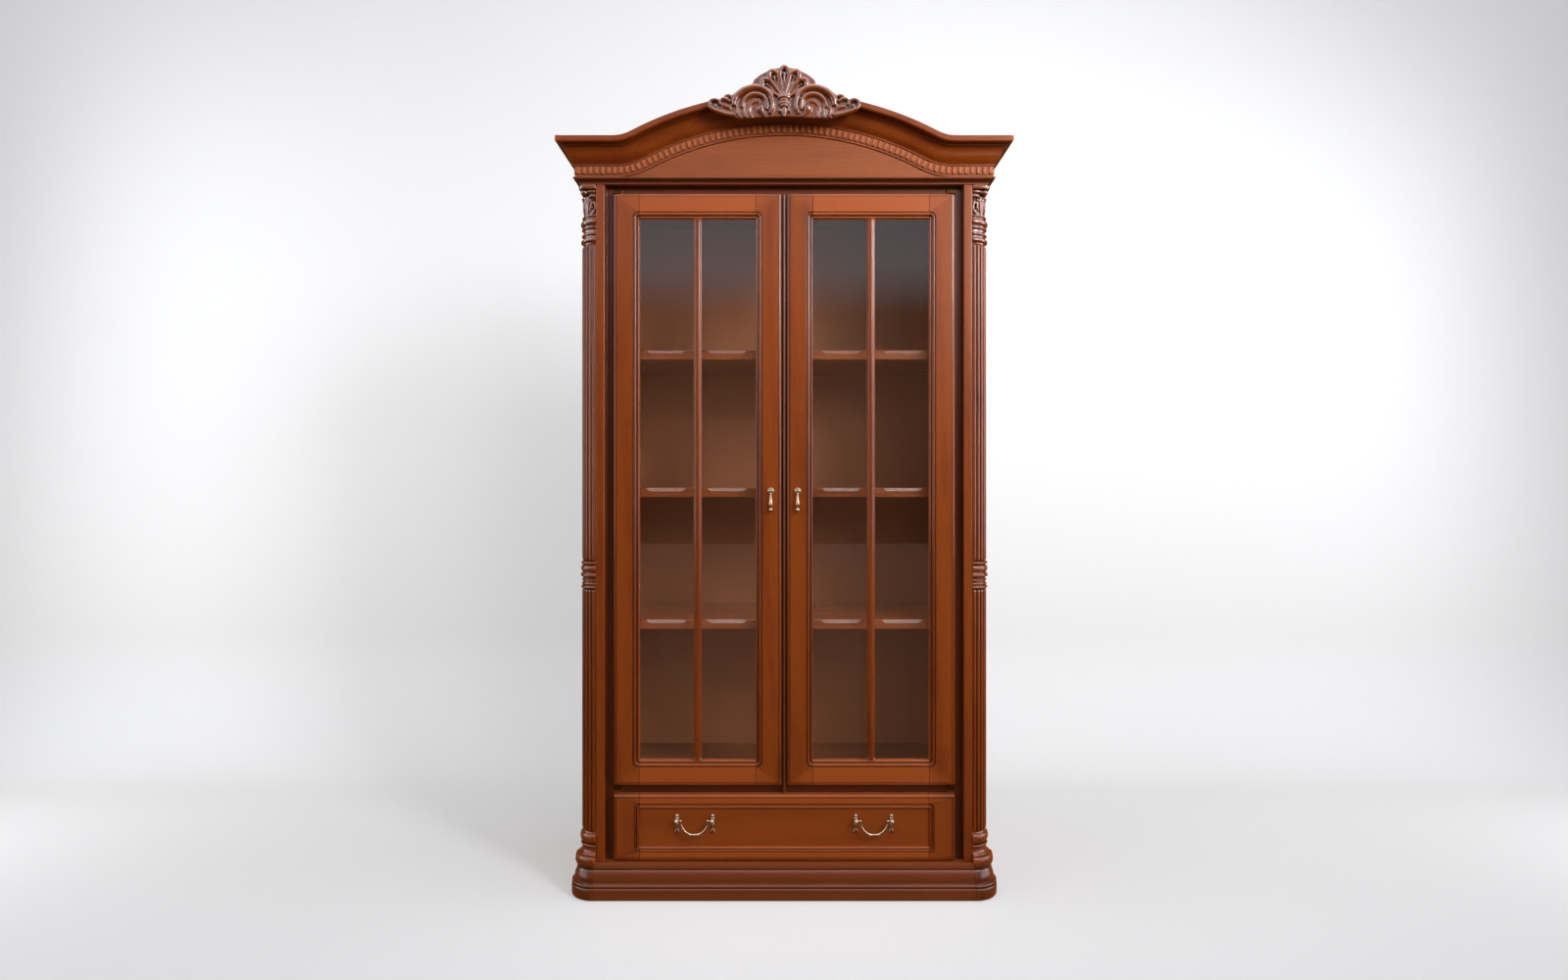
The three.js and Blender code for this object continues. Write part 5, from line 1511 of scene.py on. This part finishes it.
class CABINET_OT_bail_pulls(bpy.types.Operator):
    """Model the drawer's bail pulls: leaf backplates, ball-ended posts and curved bails"""

    bl_idname = "cabinet.bail_pulls"
    bl_label = "Bail pulls"

    def execute(self, context):
        bail_low, bail_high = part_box("pull_right_bail")
        centre = (bail_low.x + bail_high.x) / 2 / MM
        z = bail_high.z / MM - 3.6
        axis_y = (bail_low.y + bail_high.y) / 2 / MM
        field = FACE_Y + PANEL_SINK
        half = 48  # of the distance between the posts
        outer = centre + half
        stand = field - axis_y

        leaf = [(0, 13), (4.2, 11.5), (6.2, 6), (5, 0), (3.4, -5), (4.6, -12), (5.6, -20), (4.2, -27),
                (5.4, -33), (6.8, -37.5), (2.5, -34.5), (0, -38), (-2.5, -34.5), (-6.8, -37.5),
                (-5.4, -33), (-4.2, -27), (-5.6, -20), (-4.6, -12), (-3.4, -5), (-5, 0), (-6.2, 6),
                (-4.2, 11.5)]
        plate = drawn("leaf_plate", [[(outer + 0.72 * u, y, z + v) for u, v in leaf]
                                     for y in (field - 2, field - 0.1)])
        ridge = rib([(outer, field - 2, z + 9, 1.6), (outer, field - 2.4, z - 6, 2.0),
                     (outer, field - 3, z - 17, 2.6), (outer, field - 2.8, z - 27, 2.0),
                     (outer, field - 2.6, z - 36, 1.2)])
        parts = [plate, ridge]
        for side in (-1, 1):
            parts.append(rib([(outer + side * 1.5, field - 2, z - 26, 1.2),
                              (outer + side * 4, field - 2.4, z - 32, 1.5),
                              (outer + side * 6.2, field - 2.2, z - 36.5, 1.3)]))
            parts.append(rib([(outer + side * 1, field - 2, z - 8, 0.9),
                              (outer + side * 3.4, field - 2.2, z - 14, 1.3),
                              (outer + side * 4.6, field - 2.0, z - 20, 1.0)]))
        parts.append(ball(outer, field - 3, z + 9, 4.6, 0.8))
        stem = [(0, 1), (4.8, 1), (5.2, 2), (4.4, 3.4), (3.0, 4.6), (2.7, stand - 7)]
        stem += half_round((3.4, stand - 5.6), (3.4, stand + 4.6), 2.6, 8)
        stem += [(2.6, stand + 5.4), (2.0, stand + 6.2)]
        stem += half_round((1.6, stand + 6.6), (0.2, stand + 12.2), 2.9, 8) + [(0, stand + 12.3)]
        parts.append(spun("stem", [(outer + r, field - out, z) for r, out in stem],
                          (outer, 0, z), (0, 1, 0), 28))
        post = carved("cast_post_outer_right", parts, 0.00045, 1)

        shoulder = half - 11.1
        curve = [(0.0, 0.0, 3.3), (0.4, -5, 2.6), (2.6, -13, 2.7), (7.4, -22, 2.9), (14.8, -30, 3.1),
                 (24, -35.2, 3.5), (shoulder, -37.2, 4.0)]
        path = [(centre - shoulder + u, axis_y, z + v, r) for u, v, r in curve]
        path += [(centre + shoulder - u, axis_y, z + v, r) for u, v, r in reversed(curve[:-1])]
        bars = [rib(path)]
        for side in (-1, 1):
            root = centre + side * shoulder
            bars.append(ball(root, axis_y, z, 3.6))
            bars.append(rib([(root, axis_y, z, 1.7), (centre + side * (half - 2.8), axis_y, z, 1.7)]))
            for across, drop in ((9.5, -36.9), (12.5, -36.6)):
                bars.append(ball(centre + side * across, axis_y, z + drop, 4.25, 1.0))
        bail = carved("cast_bail_right", bars, 0.0005, 1)

        inner = copied(post, "cast_post_inner_right")
        inner.data.transform(Matrix.Translation((-2 * half * MM, 0, 0)))
        pieces = [(post, "drawer", "post_b"), (inner, "drawer", "post_a"), (bail, "right_bail", "bail")]
        for piece, body, part in pieces:
            left = copied(piece, left_hand(piece.name))
            left.data.transform(Matrix.Translation((-2 * centre * MM, 0, 0)))
            finished(piece, body, antique_nickel(), f"pull_right_{part}", 60)
            finished(left, left_hand(body), antique_nickel(), f"pull_left_{part}", 60)
        return {"FINISHED"}


# ---------------------------------------------------------------- stage
def lamp(name, place, aim, width, height, power, spread):
    """A soft rectangular lamp, white; power in watts, spread in degrees."""
    data = bpy.data.lights.new(name, "AREA")
    data.shape = "RECTANGLE"
    data.size, data.size_y = width, height
    data.energy = power
    data.spread = math.radians(spread)
    data.color = (1.0, 0.99, 0.98)
    lit = bpy.data.objects.new(name, data)
    bpy.context.scene.collection.objects.link(lit)
    lit.location = place
    lit.rotation_euler = (Vector(aim) - Vector(place)).to_track_quat("-Z", "Y").to_euler()


def room(scene):
    """The room that lacquer and panes mirror: brown low down, pale above, bright at both sides.

    It hardly lights what is matt, and seen directly it is plain white.
    """
    world = bpy.data.worlds.new("studio")
    scene.world = world
    world.use_nodes = True
    tree = world.node_tree
    tree.nodes.clear()
    way = node(tree, "SeparateXYZ", Vector=node(tree, "TexCoord").outputs["Generated"])
    rise, across = way.outputs["Z"], way.outputs["X"]
    bands = [
        (rise, -0.03, 0.07, (0.4, 0.2, 0.11, 1)),  # far wall
        (rise, 0.2, 0.25, (0.95, 0.93, 1.0, 1)),  # its paler upper part
        (across, -0.62, -0.76, (3.6, 3.5, 3.6, 1)),  # doorway on the left
        (across, 0.6, 0.72, (5.0, 5.0, 5.5, 1)),  # window on the right
        (rise, 0.45, 0.65, (3.0, 2.9, 2.9, 1)),  # ceiling
    ]
    tone = (0.13, 0.055, 0.02, 1)  # floor
    for reach, begin, end, shade in bands:
        share = node(tree, "MapRange", Value=reach, From_Min=begin, From_Max=end)
        tone = mixed(tree, share.outputs[0], tone, shade)
    path = node(tree, "LightPath")
    dim = node(tree, "MapRange", Value=path.outputs["Is Diffuse Ray"], To_Min=0.9, To_Max=0.06)
    sky = mixed(tree, path.outputs["Is Camera Ray"], tone, (1.0, 1.0, 1.0, 1))
    light = node(tree, "Background", Color=sky, Strength=dim.outputs[0])
    node(tree, "OutputWorld", Surface=light.outputs[0])


class CABINET_OT_stage(bpy.types.Operator):
    """Set up the floor, the wall, the lamps and the camera"""

    bl_idname = "cabinet.stage"
    bl_label = "Stage"

    def execute(self, context):
        scene = context.scene
        bpy.ops.object.select_all(action="DESELECT")
        bpy.ops.mesh.primitive_plane_add(size=30, location=(0, 0, -0.0005))
        floor = bpy.context.object
        floor.name = "floor"
        wall_y, sweep, half_wide, tall = 1150, 480, 9000, 6000
        bend = quarter_round((wall_y - sweep, 0), (wall_y, sweep), "u", 16)
        line = [(wall_y - sweep - 40, -0.2)] + bend + [(wall_y, tall)]
        wall = open_chain("wall", [(-half_wide, y, z) for y, z in line])
        bpy.ops.mesh.extrude_region_move(TRANSFORM_OT_translate={"value": (2 * half_wide * MM, 0, 0)})
        bpy.ops.object.mode_set(mode="OBJECT")
        if wall.data.polygons[0].normal.z < 0:
            wall.data.flip_normals()
        for piece in (floor, wall):
            select_only(piece)
            bpy.ops.object.shade_smooth()
            piece.data.materials.append(studio_paint())

        lamp("key_right", (2.2, -2.4, 2.8), (0.6, 0, 2.0), 0.8, 1.2, 20, 88)
        lamp("key_high", (2.7, -6.0, 3.2), (0, 0, 2.3), 1.5, 1.5, 5, 60)
        lamp("top_near", (0.3, -1.5, 3.3), (0, 0, 1.8), 1.6, 0.5, 2.6, 130)
        lamp("fill_left", (-2.3, -2.2, 3.0), (-0.4, 0, 2.1), 0.7, 0.9, 1.4, 80)
        for side in (1, -1):
            place, aim = (side * 2.9, -0.1, 1.5), (side * 1.4, wall_y * MM, 1.2)
            lamp("wall_wash", place, aim, 0.6, 2.6, 12.8, 170)
        room(scene)

        distance, eye_height = 2300, 1100
        camera = bpy.data.cameras.new("camera")
        camera.lens, camera.sensor_width = 19.6, 36
        eye = bpy.data.objects.new("camera", camera)
        scene.collection.objects.link(eye)
        eye.location = Vector((-0.6, FACE_Y - distance, eye_height)) * MM
        eye.rotation_euler = (math.pi / 2, 0, 0)
        camera.shift_y = -0.0006
        scene.camera = eye
        scene.view_settings.view_transform = "Standard"
        return {"FINISHED"}


class CABINET_PT_panel(bpy.types.Panel):
    """Lists the cabinet's pieces, its sizes and its colours"""

    bl_idname = "CABINET_PT_panel"
    bl_label = "China Cabinet"
    bl_space_type = "VIEW_3D"
    bl_region_type = "UI"
    bl_category = "Cabinet"

    def draw(self, context):
        column = self.layout.column(align=True)
        for operator in OPERATORS:
            column.operator(operator.bl_idname)
        for group in (context.scene.cabinet_sizes, context.scene.cabinet_colours):
            box = self.layout.box()
            for key in group.bl_rna.properties.keys():
                if key not in ("rna_type", "name"):
                    box.prop(group, key)


OPERATORS = (
    CABINET_OT_stage,
    CABINET_OT_plinth,
    CABINET_OT_case_boards,
    CABINET_OT_centre_stile,
    CABINET_OT_shelves,
    CABINET_OT_top_board,
    CABINET_OT_columns,
    CABINET_OT_capitals,
    CABINET_OT_cornice,
    CABINET_OT_frieze,
    CABINET_OT_crest,
    CABINET_OT_doors,
    CABINET_OT_glazing,
    CABINET_OT_drop_pulls,
    CABINET_OT_pivots,
    CABINET_OT_drawer_front,
    CABINET_OT_drawer_box,
    CABINET_OT_bail_pulls,
)
CLASSES = (CabinetSizes, CabinetColours, *OPERATORS, CABINET_PT_panel)


def register():
    for made in CLASSES:
        bpy.utils.register_class(made)
    bpy.types.Scene.cabinet_sizes = PointerProperty(type=CabinetSizes)
    bpy.types.Scene.cabinet_colours = PointerProperty(type=CabinetColours)


def unregister():
    del bpy.types.Scene.cabinet_colours
    del bpy.types.Scene.cabinet_sizes
    for made in reversed(CLASSES):
        bpy.utils.unregister_class(made)


def main():
    register()
    for operator in OPERATORS:
        group, name = operator.bl_idname.split(".")
        getattr(getattr(bpy.ops, group), name)()


if __name__ == "__main__":
    main()
